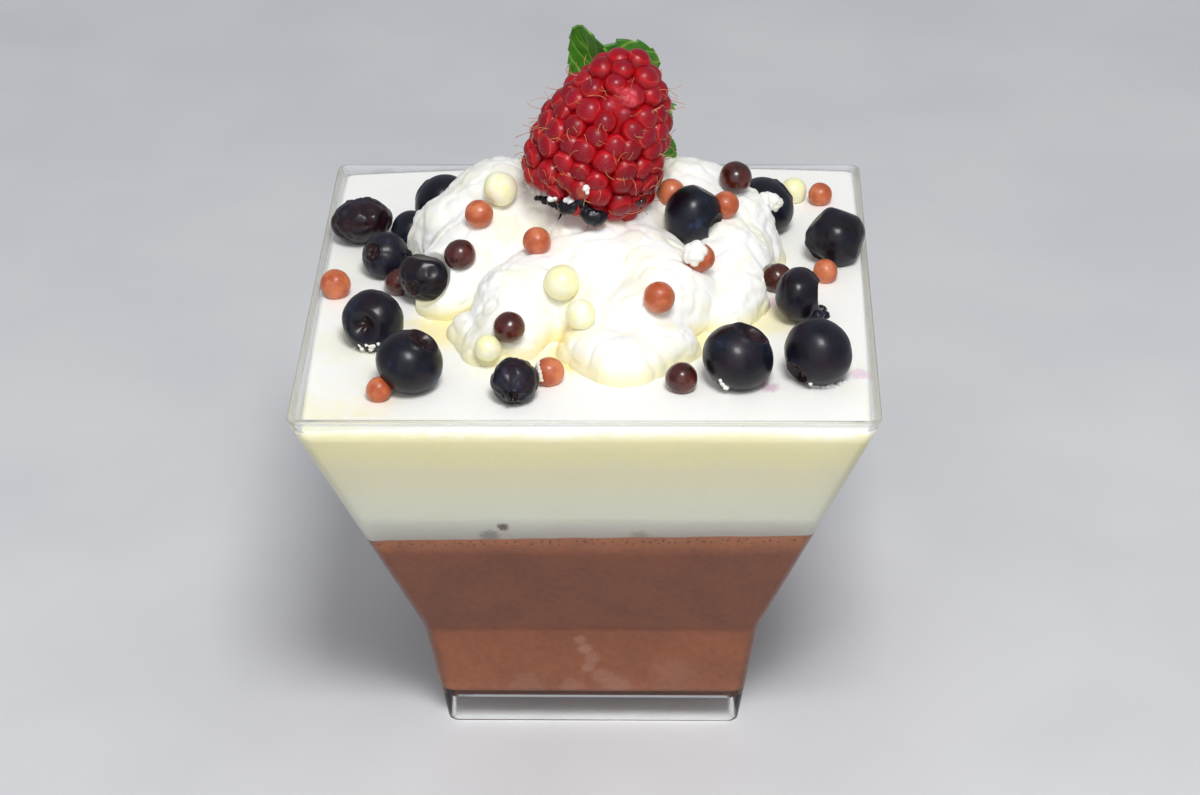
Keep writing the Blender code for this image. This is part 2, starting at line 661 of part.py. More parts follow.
def main():
    """Builds every piece and fits each to its neighbours."""
    start_clean()
    parts = new_collection("glass_of_mousse")
    clear = new_material("clear_plastic", (0.85, 0.87, 0.88), 0.08, alpha=0.35)
    chocolate = new_material("chocolate_mousse", (0.26, 0.11, 0.065), 0.6)
    vanilla = new_material("vanilla_mousse", (0.84, 0.80, 0.60), 0.6)
    cream = new_material("whipped_cream", (0.95, 0.94, 0.90), 0.55)
    berry_skin = new_material("blueberry_skin", (0.012, 0.014, 0.030), 0.3)
    raspberry_skin = new_material("raspberry_skin", (0.43, 0.018, 0.045), 0.35)
    leaf_green = new_material("leaf_green", (0.07, 0.21, 0.02), 0.45)

    cup(parts, clear)
    _, mousse = layers(parts, chocolate, vanilla)
    whip = whipped_cream(parts, cream)
    combine(whip, [ground_block(parts)], "DIFFERENCE")

    pearls = pearl_balls(PEARLS_ON_MOUSSE, mousse, 0.0, parts)
    room = pearl_balls(PEARLS_ON_MOUSSE, mousse, GAP, parts)
    combine(mousse, pearls, "UNION")
    combine(whip, pearl_balls(PEARLS_ON_CREAM, whip, 0.0, parts), "UNION")

    for block in (mousse, whip):
        pockets = [berry_pocket(f"{name}_pocket", spec, parts) for name, spec in BLUEBERRIES.items()]
        combine(block, pockets, "DIFFERENCE")
    pockets = [leaf(f"{name}_slot", spec, GAP, parts) for name, spec in LEAVES.items()]
    combine(whip, [*room, raspberry_pocket(parts), *pockets], "DIFFERENCE")

    raspberry(parts, raspberry_skin)
    berries = {name: blueberry(name, spec, parts, berry_skin) for name, spec in BLUEBERRIES.items()}
    dent = ball("dent", DENT_CENTRE, DENT_WIDTH, parts, *DENT_BALL)
    combine(berries[DENTED_BERRY], [dent], "DIFFERENCE")
    for name, spec in LEAVES.items():
        leaf(name, spec, 0.0, parts, leaf_green)


main()
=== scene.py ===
# %% [markdown]
# # A square cup of layered mousse
# This lesson dresses a fixed CAD model of a small dessert: a clear square cup of chocolate and
# vanilla mousse, topped with whipped cream, blueberries, sugar pearls, a raspberry and mint.
# The CAD solids give the sizes and the places. Each cell here swaps one of them for a piece
# with the detail and the finish of the real food, at the same place and the same size.

# %% Load the model and note its size
import json
import math
import random

import bmesh
import bpy
from mathutils import Matrix, Vector, noise
from mathutils.bvhtree import BVHTree

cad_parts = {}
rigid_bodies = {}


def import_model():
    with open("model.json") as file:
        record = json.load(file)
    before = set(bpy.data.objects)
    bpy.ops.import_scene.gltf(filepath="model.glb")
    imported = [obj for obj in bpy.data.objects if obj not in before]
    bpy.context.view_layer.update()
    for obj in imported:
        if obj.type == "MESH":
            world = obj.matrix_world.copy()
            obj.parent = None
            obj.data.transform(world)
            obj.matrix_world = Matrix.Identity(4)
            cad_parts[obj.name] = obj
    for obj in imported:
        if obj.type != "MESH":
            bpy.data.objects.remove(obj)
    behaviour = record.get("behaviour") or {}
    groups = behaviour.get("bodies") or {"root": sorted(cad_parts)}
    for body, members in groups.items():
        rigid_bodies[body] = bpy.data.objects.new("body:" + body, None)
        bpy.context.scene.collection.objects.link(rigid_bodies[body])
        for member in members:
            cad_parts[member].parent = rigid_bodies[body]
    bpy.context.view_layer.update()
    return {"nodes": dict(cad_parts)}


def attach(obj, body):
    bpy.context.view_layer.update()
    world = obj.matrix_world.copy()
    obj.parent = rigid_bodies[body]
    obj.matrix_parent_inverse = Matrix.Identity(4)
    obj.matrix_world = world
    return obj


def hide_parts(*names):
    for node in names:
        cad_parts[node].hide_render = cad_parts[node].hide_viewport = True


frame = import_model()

MM = 0.001
UP = Vector((0.0, 0.0, 1.0))
print("CAD nodes:", len(frame["nodes"]))

# %% [markdown]
# ## Camera
# The view is that of a short telephoto lens that looks down at the cup at about thirty degrees.
# The numbers come from fitting a pinhole camera to the corners of the rim, the kink and the foot.
# A matrix made of the camera's own three axes sets place and turn in one step.

# %% Camera
ELEVATION = math.radians(29.515)
YAW = math.radians(1.812)
ROLL = math.radians(-0.778)
DISTANCE = 527.3 * MM
SHIFT_RIGHT = 0.5 * MM
SHIFT_UP = 37.02 * MM
LENS = 104.12
SENSOR = 36.0


def place_camera():
    """A camera at the fitted place, looking along its own -Z axis."""
    back = Vector((
        math.sin(YAW) * math.cos(ELEVATION),
        -math.cos(YAW) * math.cos(ELEVATION),
        math.sin(ELEVATION),
    ))
    level = Vector((math.cos(YAW), math.sin(YAW), 0.0))
    upright = back.cross(level)
    right = math.cos(ROLL) * level + math.sin(ROLL) * upright
    up = -math.sin(ROLL) * level + math.cos(ROLL) * upright
    eye = back * DISTANCE + right * SHIFT_RIGHT + up * SHIFT_UP
    data = bpy.data.cameras.new("camera")
    data.sensor_fit = "HORIZONTAL"
    data.sensor_width = SENSOR
    data.lens = LENS
    data.clip_start = 0.01
    camera = bpy.data.objects.new("camera", data)
    bpy.context.scene.collection.objects.link(camera)
    turn = Matrix((right, up, back)).transposed().to_4x4()
    camera.matrix_world = Matrix.Translation(eye) @ turn
    bpy.context.scene.camera = camera
    return camera


camera = place_camera()
print("camera at", [round(value, 4) for value in camera.matrix_world.translation])

# %% [markdown]
# ## Small helpers
# Shader trees and geometry trees are both built from nodes, so one helper adds a node, sets its
# options and fills or links its inputs. A second one starts a Principled finish, and two more
# give the patterns that nearly every food needs: a noise and a ramp of colours.

# %% Nodes, finishes and pieces
def add(tree, kind, inputs=None, **options):
    """Adds a node, sets its options, and fills its inputs with values or links."""
    made = tree.nodes.new(kind)
    for option, value in options.items():
        setattr(made, option, value)
    for name, value in (inputs or {}).items():
        if isinstance(value, bpy.types.NodeSocket):
            tree.links.new(value, made.inputs[name])
        else:
            made.inputs[name].default_value = value
    return made


def tint(red, green, blue):
    """A colour given as it looks on screen, 0 to 255, in the linear values that shaders use."""
    linear = []
    for level in (red, green, blue):
        share = level / 255
        linear.append(share / 12.92 if share <= 0.04045 else ((share + 0.055) / 1.055) ** 2.4)
    return (*linear, 1.0)


def finish(name, constants):
    """A Principled material with plain numbers set, its tree, its shader and object coordinates."""
    material = bpy.data.materials.new(name)
    material.use_nodes = True
    tree = material.node_tree
    shader = tree.nodes["Principled BSDF"]
    for socket, value in constants.items():
        shader.inputs[socket].default_value = value
    place = add(tree, "ShaderNodeTexCoord").outputs["Object"]
    return material, tree, shader, place


def speckle(tree, place, pitch, detail=2.0, roughness=0.5):
    """Noise whose blobs are about one pitch apart."""
    inputs = {"Vector": place, "Scale": 1 / pitch, "Detail": detail, "Roughness": roughness}
    return add(tree, "ShaderNodeTexNoise", inputs).outputs["Fac"]


def ramp(tree, factor, stops):
    """A ramp of colours through (position, colour) stops."""
    made = add(tree, "ShaderNodeValToRGB", {"Fac": factor})
    made.color_ramp.interpolation = "EASE"
    elements = made.color_ramp.elements
    while len(elements) < len(stops):
        elements.new(0.5)
    for element, (position, colour) in zip(elements, stops):
        element.position = position
        element.color = colour
    return made.outputs["Color"]


def grey(level):
    """A grey for a ramp that drives a number."""
    return (level, level, level, 1.0)


def blend(tree, factor, first, second, mode="MIX"):
    """Mixes two colours."""
    inputs = {"Factor": factor}
    made = add(tree, "ShaderNodeMix", inputs, data_type="RGBA", blend_type=mode)
    for socket, value in ((made.inputs[6], first), (made.inputs[7], second)):
        if isinstance(value, bpy.types.NodeSocket):
            tree.links.new(value, socket)
        else:
            socket.default_value = value
    return made.outputs[2]


def calculate(tree, operation, first, second=0.5):
    """One sum on numbers or sockets."""
    made = add(tree, "ShaderNodeMath", operation=operation)
    for socket, value in zip(made.inputs, (first, second)):
        if isinstance(value, bpy.types.NodeSocket):
            tree.links.new(value, socket)
        else:
            socket.default_value = value
    return made.outputs[0]


def height_of(tree, place):
    """The height above the table, in metres."""
    return add(tree, "ShaderNodeSeparateXYZ", {"Vector": place}).outputs["Z"]


def near(tree, place, centre, radius, wobble=0.8, core=0.35):
    """A ragged spot: 1 close to a centre in millimetres, 0 beyond its radius."""
    target = tuple(value * MM for value in centre)
    apart = add(tree, "ShaderNodeVectorMath", {0: place, 1: target}, operation="DISTANCE")
    share = calculate(tree, "DIVIDE", apart.outputs["Value"], radius * MM)
    ragged = calculate(tree, "MULTIPLY", speckle(tree, place, radius * 0.3 * MM, 3.0), wobble)
    share = calculate(tree, "ADD", calculate(tree, "SUBTRACT", share, wobble / 2), ragged)
    return ramp(tree, share, [(core, grey(1.0)), (1.0, grey(0.0))])


def spotted(tree, place, colour, spots):
    """Paints ragged spots, each a centre, a radius, a strength and a colour."""
    for centre, radius, strength, paint in spots:
        share = calculate(tree, "MULTIPLY", near(tree, place, centre, radius), strength)
        colour = blend(tree, share, colour, paint)
    return colour


def emboss(tree, shader, height, depth, strength=1.0):
    """Drives a shader's normal from a height pattern."""
    made = add(tree, "ShaderNodeBump", {"Height": height, "Strength": strength, "Distance": depth})
    tree.links.new(made.outputs["Normal"], shader.inputs["Normal"])


def roughen(tree, shader, pattern, *stops):
    """Drives a shader's roughness from a pattern, through (position, roughness) stops."""
    rough = ramp(tree, pattern, [(position, grey(level)) for position, level in stops])
    tree.links.new(rough, shader.inputs["Roughness"])


def new_piece(name, mesh, material, smooth=True):
    """Links a mesh into the scene as an object with one material."""
    mesh.validate()
    if material:
        mesh.materials.clear()
        mesh.materials.append(material)
    mesh.polygons.foreach_set("use_smooth", [smooth] * len(mesh.polygons))
    thing = bpy.data.objects.new(name, mesh)
    bpy.context.scene.collection.objects.link(thing)
    return thing


def settle(thing):
    """Turns an object's modifiers into plain mesh."""
    bpy.context.view_layer.update()
    evaluated = thing.evaluated_get(bpy.context.evaluated_depsgraph_get())
    mesh = bpy.data.meshes.new_from_object(evaluated)
    thing.modifiers.clear()
    thing.data = mesh


def register(thing, slot, *nodes):
    """Says what a piece moves with and which CAD nodes it stands for; the finish slot is not used.
    """
    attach(thing, "root")
    if nodes:
        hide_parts(*nodes)
    triangles = sum(len(face.vertices) - 2 for face in thing.data.polygons)
    print(f"{thing.name}: {triangles} triangles")


# %% [markdown]
# ## The cup
# The real cup is thin clear plastic, moulded in one piece: flat walls that flare above a kink, a
# floor, and a hollow foot. One closed surface could be cut with Booleans, but a loft along the
# wall's own section is cleaner: it runs from under the floor, round the foot's edge, up the
# outside, over the rim and down the inside, so every edge gets its small moulded rounding.

# %% Sizes of the cup
RIM_WIDTH = 80.0 * MM
KINK_WIDTH = 47.8 * MM
FOOT_WIDTH = 42.4 * MM
CUP_HEIGHT = 61.2 * MM
KINK_HEIGHT = 17.6 * MM
KINK_REACH = 1.5 * MM
WALL = 1.0 * MM
CORNER_RADIUS = 1.6 * MM
INNER_CORNER_RADIUS = 0.8 * MM
FLOOR_TOP = 5.6 * MM
FLOOR_UNDERSIDE = 4.6 * MM
FLOOR_FILLET = 0.8 * MM
FILLET_STEPS = 5
FOOT_WALL_TOP = 1.4 * MM
FOOT_WALL_BOTTOM = 0.8 * MM
EDGE_ROUND = 0.3 * MM


def outer_half(z):
    """Half the cup's outer width at a height, eased round the kink."""
    foot, kink, rim = FOOT_WIDTH / 2, KINK_WIDTH / 2, RIM_WIDTH / 2
    below = (kink - foot) / KINK_HEIGHT
    above = (rim - kink) / (CUP_HEIGHT - KINK_HEIGHT)
    past = z - KINK_HEIGHT
    if abs(past) >= KINK_REACH:
        return kink + past * (below if past < 0 else above)
    share = (past + KINK_REACH) / (2 * KINK_REACH)
    start, end = kink - KINK_REACH * below, kink + KINK_REACH * above
    return (1 - share) ** 2 * start + 2 * share * (1 - share) * kink + share ** 2 * end


def square_ring(half, radius, height, corner_steps=8, side_steps=1):
    """Points round a square with round corners, anticlockwise from above."""
    points = []
    offset = half - radius
    for corner in range(4):
        turn = Matrix.Rotation(math.radians(90 * corner), 3, "Z")
        for step in range(corner_steps + 1):
            angle = math.radians(90 * step / corner_steps)
            x, y = offset + radius * math.cos(angle), offset + radius * math.sin(angle)
            points.append(turn @ Vector((x, y, height)))
        for step in range(1, side_steps):
            x = offset - 2 * offset * step / side_steps
            points.append(turn @ Vector((x, half, height)))
    return points


def loft(name, rings, material, smooth=True):
    """A closed surface through rings of equally many points, capped at both ends."""
    solid = bmesh.new()
    loops = [[solid.verts.new(point) for point in ring] for ring in rings]
    for lower, upper in zip(loops, loops[1:]):
        for here in range(len(lower)):
            there = (here + 1) % len(lower)
            solid.faces.new((lower[here], lower[there], upper[there], upper[here]))
    solid.faces.new(list(reversed(loops[0])))
    solid.faces.new(loops[-1])
    bmesh.ops.recalc_face_normals(solid, faces=solid.faces)
    mesh = bpy.data.meshes.new(name)
    solid.to_mesh(mesh)
    solid.free()
    return new_piece(name, mesh, material, smooth)


def wall_heights(low, high, steps=8):
    """Heights from low to high, close together round the kink."""
    around = [KINK_HEIGHT + KINK_REACH * (2 * step / steps - 1) for step in range(steps + 1)]
    return [low, *[z for z in around if low < z < high], high]


# %% Clear plastic
def clear_plastic():
    """Clear plastic with faint flow marks and a matt rim, which lets the lamps' light through."""
    constants = {"Transmission Weight": 1.0, "IOR": 1.49, "Base Color": (0.98, 0.985, 0.99, 1.0)}
    constants["Specular IOR Level"] = 0.3
    material, tree, shader, place = finish("clear_plastic", constants)
    marks = speckle(tree, place, 9 * MM, 2.0)
    roughen(tree, shader, marks, (0.3, 0.02), (0.8, 0.09))
    emboss(tree, shader, marks, 0.15 * MM, 0.35)
    lamps = add(tree, "ShaderNodeBsdfTransparent", {"Color": (0.93, 0.95, 0.95, 1.0)})
    path = add(tree, "ShaderNodeLightPath")
    level = calculate(tree, "DIVIDE", height_of(tree, place), CUP_HEIGHT)
    edge = ramp(tree, level, [(0.986, grey(0.0)), (0.996, grey(0.45))])
    matt = add(tree, "ShaderNodeBsdfDiffuse", {"Color": tint(206, 208, 210)})
    inputs = {0: edge, 1: shader.outputs["BSDF"], 2: matt.outputs["BSDF"]}
    rimmed = add(tree, "ShaderNodeMixShader", inputs)
    inputs = {0: path.outputs["Is Shadow Ray"], 1: rimmed.outputs["Shader"]}
    both = add(tree, "ShaderNodeMixShader", inputs)
    tree.links.new(lamps.outputs["BSDF"], both.inputs[2])
    tree.links.new(both.outputs["Shader"], tree.nodes["Material Output"].inputs["Surface"])
    return material


# %% Cup
def edge_arc(middle, height, start, end, steps=4):
    """Section points (half width, height) on a small quarter circle."""
    points = []
    for step in range(steps + 1):
        angle = math.radians(start + (end - start) * step / steps)
        across, rise = EDGE_ROUND * math.cos(angle), EDGE_ROUND * math.sin(angle)
        points.append((middle + across, height + rise))
    return points


def cup_section():
    """The wall's section as (half width, height, corner radius), from under to above the floor."""
    hollow_top = outer_half(FLOOR_UNDERSIDE) - FOOT_WALL_TOP
    hollow_low = outer_half(0.0) - FOOT_WALL_BOTTOM
    inner, outer = INNER_CORNER_RADIUS, CORNER_RADIUS
    section = [(hollow_top / 2, FLOOR_UNDERSIDE, inner)]
    section.append((hollow_top - EDGE_ROUND, FLOOR_UNDERSIDE, inner))
    section.append((hollow_top, FLOOR_UNDERSIDE - EDGE_ROUND, inner))
    hollow_edge = edge_arc(hollow_low + EDGE_ROUND, EDGE_ROUND, 180, 270)
    section += [(half, z, inner) for half, z in hollow_edge]
    foot_edge = outer_half(EDGE_ROUND) - EDGE_ROUND
    section += [(half, z, outer) for half, z in edge_arc(foot_edge, EDGE_ROUND, 270, 360)]
    top = CUP_HEIGHT - EDGE_ROUND
    section += [(outer_half(z), z, outer) for z in wall_heights(EDGE_ROUND, top)[1:-1]]
    rim = outer_half(top)
    section += [(half, z, outer) for half, z in edge_arc(rim - EDGE_ROUND, top, 0, 90)]
    section += [(half, z, inner) for half, z in edge_arc(rim - WALL + EDGE_ROUND, top, 90, 180)]
    low = FLOOR_TOP + FLOOR_FILLET
    section += [(outer_half(z) - WALL, z, inner) for z in reversed(wall_heights(low, top)[:-1])]
    edge = outer_half(low) - WALL
    for step in range(1, FILLET_STEPS + 1):
        angle = math.radians(90 * step / FILLET_STEPS)
        half = edge - FLOOR_FILLET * (1 - math.cos(angle))
        section.append((half, low - FLOOR_FILLET * math.sin(angle), inner))
    section.append((edge / 2, FLOOR_TOP, inner))
    return section


cup_rings = [square_ring(half, radius, z) for half, z, radius in cup_section()]
cup = loft("cup_wall", cup_rings, clear_plastic(), smooth=False)
register(cup, "clear_plastic", "cup")

# %% [markdown]
# ## The two mousses
# Both mousses fill the cup against its wall, so each piece reaches a tenth of a millimetre into
# the plastic, which is how a renderer shows a filled cup without a film of air. The boundary
# between them was poured and set: nearly level, with a slight wave. One function gives its height
# to both pieces, so that they always meet. The colours are layered by height, with fine bubbles.

# %% Shape of the mousses
CHOCOLATE_LEVEL = 37.7 * MM
CHOCOLATE_SLOPE = 0.023
VANILLA_LEVEL = 60.5 * MM
VANILLA_SLOPE_X = 0.007
VANILLA_SLOPE_Y = 0.013
VANILLA_DOME = 0.4 * MM
VANILLA_CORNER_DROP = 0.8 * MM
MOUSSE_HALF = 38.5 * MM
INTO_WALL = 0.1 * MM
SEAM = 0.01 * MM
BOUNDARY_WAVE = 0.14 * MM
BOUNDARY_PITCHES = (2.6 * MM, 9.0 * MM)
SOFT_HEIGHT = 0.12 * MM
SOFT_PITCHES = (7.0 * MM, 2.5 * MM)
SIDE_STEPS = 60
CORNER_STEPS = 4
TOP_STEPS = 30
TOP_SPACING = 1.2
# Rings on the boundary as shares of the edge's own width
BOUNDARY_RINGS = (0.98, 0.6, 0.1)


def inside_half(z):
    """Half the width of what fills the cup, just into its wall."""
    return outer_half(z) - WALL + INTO_WALL


def boundary(x, y):
    """Height of the line between the two mousses."""
    fine, wide = BOUNDARY_PITCHES
    wave = noise.noise(Vector((x, y, 0.0)) / fine) + noise.noise(Vector((x, y, 9.0)) / wide)
    return CHOCOLATE_LEVEL + CHOCOLATE_SLOPE * x + BOUNDARY_WAVE * wave


def vanilla_top(x, y):
    """Height of the vanilla mousse's surface."""
    across, along = x / MOUSSE_HALF, y / MOUSSE_HALF
    dome = VANILLA_DOME * (1 - across ** 2) * (1 - along ** 2)
    corners = VANILLA_CORNER_DROP * (across * along) ** 2
    return VANILLA_LEVEL + VANILLA_SLOPE_X * x + VANILLA_SLOPE_Y * y + dome - corners


def wall_ring(half, height):
    """A level ring against the wall, with its corners rounded."""
    return square_ring(half, INNER_CORNER_RADIUS, height, CORNER_STEPS, SIDE_STEPS)


def surface_ring(level, surface, lift=0.0):
    """A ring against the wall that follows a surface's height."""
    half = inside_half(level)
    ring = []
    for point in wall_ring(half, 0.0):
        height = surface(point.x, point.y) + lift
        scale = inside_half(height) / half
        ring.append(Vector((point.x * scale, point.y * scale, height)))
    return ring


def shrunk(ring, scale, surface, lift=0.0):
    """A ring drawn in towards the middle, on a surface."""
    places = [(point.x * scale, point.y * scale) for point in ring]
    return [Vector((x, y, surface(x, y) + lift)) for x, y in places]


def soft_top(x, y):
    """The vanilla's surface with the soft unevenness that the spoon left."""
    wide, fine = SOFT_PITCHES
    soft = noise.noise(Vector((x, y, 3.0)) / wide) + 0.5 * noise.noise(Vector((x, y, 5.0)) / fine)
    edge = max(abs(x), abs(y)) / MOUSSE_HALF
    return vanilla_top(x, y) + SOFT_HEIGHT * soft * (1 - edge ** 8)


# %% Finish of the chocolate mousse
# Pale smears where foam touched the wall: centre in millimetres, radius, strength, colour
CHOCOLATE_SMEARS = (
    ((-1.6, -22.5, 15.6), 1.2, 0.30, tint(196, 158, 142)),
    ((-0.9, -22.4, 13.9), 1.4, 0.34, tint(198, 160, 144)),
    ((0.1, -22.3, 12.0), 1.6, 0.26, tint(192, 154, 138)),
    ((-0.6, -22.1, 10.2), 1.3, 0.30, tint(192, 154, 138)),
    ((1.4, -22.0, 8.6), 2.0, 0.26, tint(190, 150, 134)),
    ((3.6, -21.6, 6.8), 2.8, 0.28, tint(190, 150, 134)),
    ((-3.0, -21.4, 6.4), 2.2, 0.24, tint(190, 150, 134)),
    ((-9.5, -21.2, 6.6), 3.4, 0.22, tint(186, 142, 126)),
    ((12.0, -21.5, 9.0), 4.5, 0.14, tint(186, 142, 126)),
)
# The row of small bubbles that gathered just under the boundary
BUBBLE_PITCH = 1.0 * MM
BUBBLE_BAND = (36.0 * MM, 36.5 * MM, 37.2 * MM, 37.45 * MM)


def bubble_row(tree, place):
    """1 on the small dark bubbles in a band that runs along the tilted boundary, 0 elsewhere."""
    axes = add(tree, "ShaderNodeSeparateXYZ", {"Vector": place}).outputs
    tilt = calculate(tree, "MULTIPLY", axes["X"], CHOCOLATE_SLOPE)
    level = calculate(tree, "SUBTRACT", axes["Z"], tilt)
    share = calculate(tree, "DIVIDE", level, CHOCOLATE_LEVEL)
    low, full, fading, high = (height / CHOCOLATE_LEVEL for height in BUBBLE_BAND)
    stops = [(low, grey(0.0)), (full, grey(0.8)), (fading, grey(0.8)), (high, grey(0.0))]
    along = calculate(tree, "ADD", axes["X"], axes["Y"])
    wall = add(tree, "ShaderNodeCombineXYZ", {"X": along, "Y": level}).outputs[0]
    inputs = {"Vector": wall, "Scale": 1 / BUBBLE_PITCH, "Randomness": 0.9}
    cells = add(tree, "ShaderNodeTexVoronoi", inputs, voronoi_dimensions="2D")
    dots = ramp(tree, cells.outputs["Distance"], [(0.13, grey(1.0)), (0.26, grey(0.0))])
    return calculate(tree, "MULTIPLY", dots, ramp(tree, share, stops))


def chocolate_mousse():
    """Brown mousse, lighter below the kink, with fine bubbles and pale smears near the foot."""
    constants = {"Subsurface Weight": 0.1, "Subsurface Scale": 1.0 * MM, "Specular IOR Level": 0.15}
    constants["Subsurface Radius"] = (1.0, 0.4, 0.25)
    material, tree, shader, place = finish("chocolate_mousse", constants)
    level = calculate(tree, "DIVIDE", height_of(tree, place), 40 * MM)
    layers = ramp(tree, level, [
        (0.12, tint(164, 104, 76)),
        (0.20, tint(152, 90, 58)),
        (0.425, tint(147, 84, 52)),
        (0.45, tint(129, 67, 33)),
        (0.82, tint(132, 69, 34)),
        (0.935, tint(138, 80, 46)),
    ])
    clouds = speckle(tree, place, 6 * MM, 3.0)
    mottle = ramp(tree, clouds, [(0.3, grey(0.42)), (0.7, grey(0.57))])
    colour = blend(tree, 0.6, layers, mottle, "OVERLAY")
    bubbles = speckle(tree, place, 0.9 * MM, 3.0, 0.6)
    fine = ramp(tree, bubbles, [(0.25, grey(0.38)), (0.75, grey(0.62))])
    colour = blend(tree, 0.4, colour, fine, "OVERLAY")
    colour = spotted(tree, place, colour, CHOCOLATE_SMEARS)
    colour = blend(tree, bubble_row(tree, place), colour, tint(64, 28, 18))
    tree.links.new(colour, shader.inputs["Base Color"])
    roughen(tree, shader, bubbles, (0.3, 0.75), (0.7, 0.55))
    emboss(tree, shader, bubbles, 0.03 * MM, 0.35)
    return material


# %% Finish of the vanilla mousse
# Stains and painted shadows on the mousse: centre in millimetres, radius, strength, colour
VANILLA_STAINS_AND_SHADOWS = (
    # A brown speck on the wall
    ((-11.7, -31.2, 40.0), 1.1, 0.85, tint(92, 52, 44)),
    # A grey spot on the wall, a painted shadow
    ((-13.6, -30.3, 38.2), 1.9, 0.55, tint(128, 126, 128)),
    # An olive stain on the wall
    ((7.3, -30.4, 38.2), 1.8, 0.45, tint(166, 156, 104)),
    # Warm yellow spots on the top round the cream's foot, painted shadows of the cream
    ((-19.5, -12.0, 60.8), 8.0, 0.80, tint(252, 238, 168)),
    ((-8.0, -22.0, 60.8), 7.0, 0.45, tint(252, 240, 178)),
    ((-1.5, -21.0, 60.8), 5.5, 0.85, tint(250, 232, 142)),
    ((14.0, -17.0, 60.8), 6.0, 0.70, tint(251, 237, 164)),
    ((25.4, -9.5, 60.8), 7.0, 0.60, tint(252, 238, 172)),
    # Faint warm tints on the top's left
    ((-34.0, -16.0, 60.5), 7.0, 0.22, tint(250, 240, 184)),
    ((-36.0, 6.0, 60.5), 7.0, 0.15, tint(238, 236, 196)),
    # Purple juice stains
    ((37.4, -24.4, 60.5), 2.0, 0.50, tint(226, 178, 212)),
    ((25.0, -28.4, 60.7), 1.8, 0.55, tint(200, 140, 176)),
    ((26.0, -4.8, 60.7), 2.0, 0.55, tint(226, 172, 208)),
)


def vanilla_mousse():
    """Pale yellow mousse, greyer low down, near-white on top as partly painted light; painted
    shadows and stains.
    """
    constants = {"Subsurface Weight": 0.2, "Subsurface Scale": 1.6 * MM, "Specular IOR Level": 0.35}
    constants["Subsurface Radius"] = (1.0, 0.85, 0.5)
    material, tree, shader, place = finish("vanilla_mousse", constants)
    drift = calculate(tree, "MULTIPLY", speckle(tree, place, 14 * MM), 3 * MM)
    ragged = calculate(tree, "MULTIPLY", speckle(tree, place, 2.2 * MM, 3.0), 1.6 * MM)
    moved = calculate(tree, "ADD", calculate(tree, "ADD", height_of(tree, place), drift), ragged)
    level = calculate(tree, "DIVIDE", moved, 66 * MM)
    # Colour by height: the near-white top is partly painted light, standing in for the strong light
    # that falls on it
    layers = ramp(tree, level, [
        (0.62, tint(236, 237, 226)),
        (0.70, tint(231, 231, 212)),
        (0.80, tint(234, 229, 200)),
        (0.87, tint(241, 234, 190)),
        (0.91, tint(247, 239, 194)),
        (0.945, tint(254, 253, 246)),
    ])
    bubbles = speckle(tree, place, 0.35 * MM, 2.0, 0.6)
    mottle = ramp(tree, bubbles, [(0.3, grey(0.35)), (0.7, grey(0.65))])
    fine = blend(tree, 0.12, layers, mottle, "OVERLAY")
    fine = spotted(tree, place, fine, VANILLA_STAINS_AND_SHADOWS)
    tree.links.new(fine, shader.inputs["Base Color"])
    roughen(tree, shader, bubbles, (0.3, 0.55), (0.7, 0.4))
    emboss(tree, shader, speckle(tree, place, 0.8 * MM, 3.0), 0.08 * MM, 0.5)
    return material


# %% Chocolate and vanilla
# Heights of the rings of points against the wall, clear of the wavy boundary and of the top
CHOCOLATE_WALL_TOP = 34 * MM
VANILLA_WALL = (42 * MM, 50 * MM, 57 * MM)


def chocolate():
    """The lower mousse, from the cup's floor to the boundary."""
    low = FLOOR_TOP - INTO_WALL
    edge = surface_ring(CHOCOLATE_LEVEL, boundary, -SEAM)
    half = inside_half(low + FLOOR_FILLET)
    rings = []
    for step in range(CORNER_STEPS + 1):
        angle = math.radians(90 * step / CORNER_STEPS)
        inset = FLOOR_FILLET * (1 - math.sin(angle))
        height = low + FLOOR_FILLET * (1 - math.cos(angle))
        rings.append(wall_ring(half - inset, height))
    for z in wall_heights(low + FLOOR_FILLET, CHOCOLATE_WALL_TOP)[1:]:
        rings.append(wall_ring(inside_half(z), z))
    rings.append(edge)
    rings += [shrunk(edge, scale, boundary, -SEAM) for scale in BOUNDARY_RINGS]
    return loft("chocolate_layer", rings, chocolate_mousse())


def vanilla():
    """The upper mousse, from the boundary to its soft top."""
    low_edge = surface_ring(CHOCOLATE_LEVEL, boundary)
    top_edge = surface_ring(VANILLA_LEVEL, soft_top)
    rings = [shrunk(low_edge, scale, boundary) for scale in reversed(BOUNDARY_RINGS)]
    rings.append(low_edge)
    for z in VANILLA_WALL:
        rings.append(wall_ring(inside_half(z), z))
    rings.append(top_edge)
    for step in range(1, TOP_STEPS):
        rings.append(shrunk(top_edge, 1 - (step / TOP_STEPS) ** TOP_SPACING, soft_top))
    return loft("vanilla_layer", rings, vanilla_mousse())


chocolate_layer = chocolate()
register(chocolate_layer, "chocolate_mousse", "chocolate_mousse")
vanilla_layer = vanilla()
register(vanilla_layer, "vanilla_mousse", "vanilla_mousse")

# %% [markdown]
# ## Beads on points, by Geometry Nodes
# Cream lumps, sugar pearls and the raspberry's drupelets are all many round things of different
# widths. A mesh that holds nothing but points, each with a width and an outward direction, can
# carry that plan, and one node tree then grows a ball on every point. The tree keeps each ball's
# own coordinates and a random tone as attributes, so that a shader can tell rim from middle.

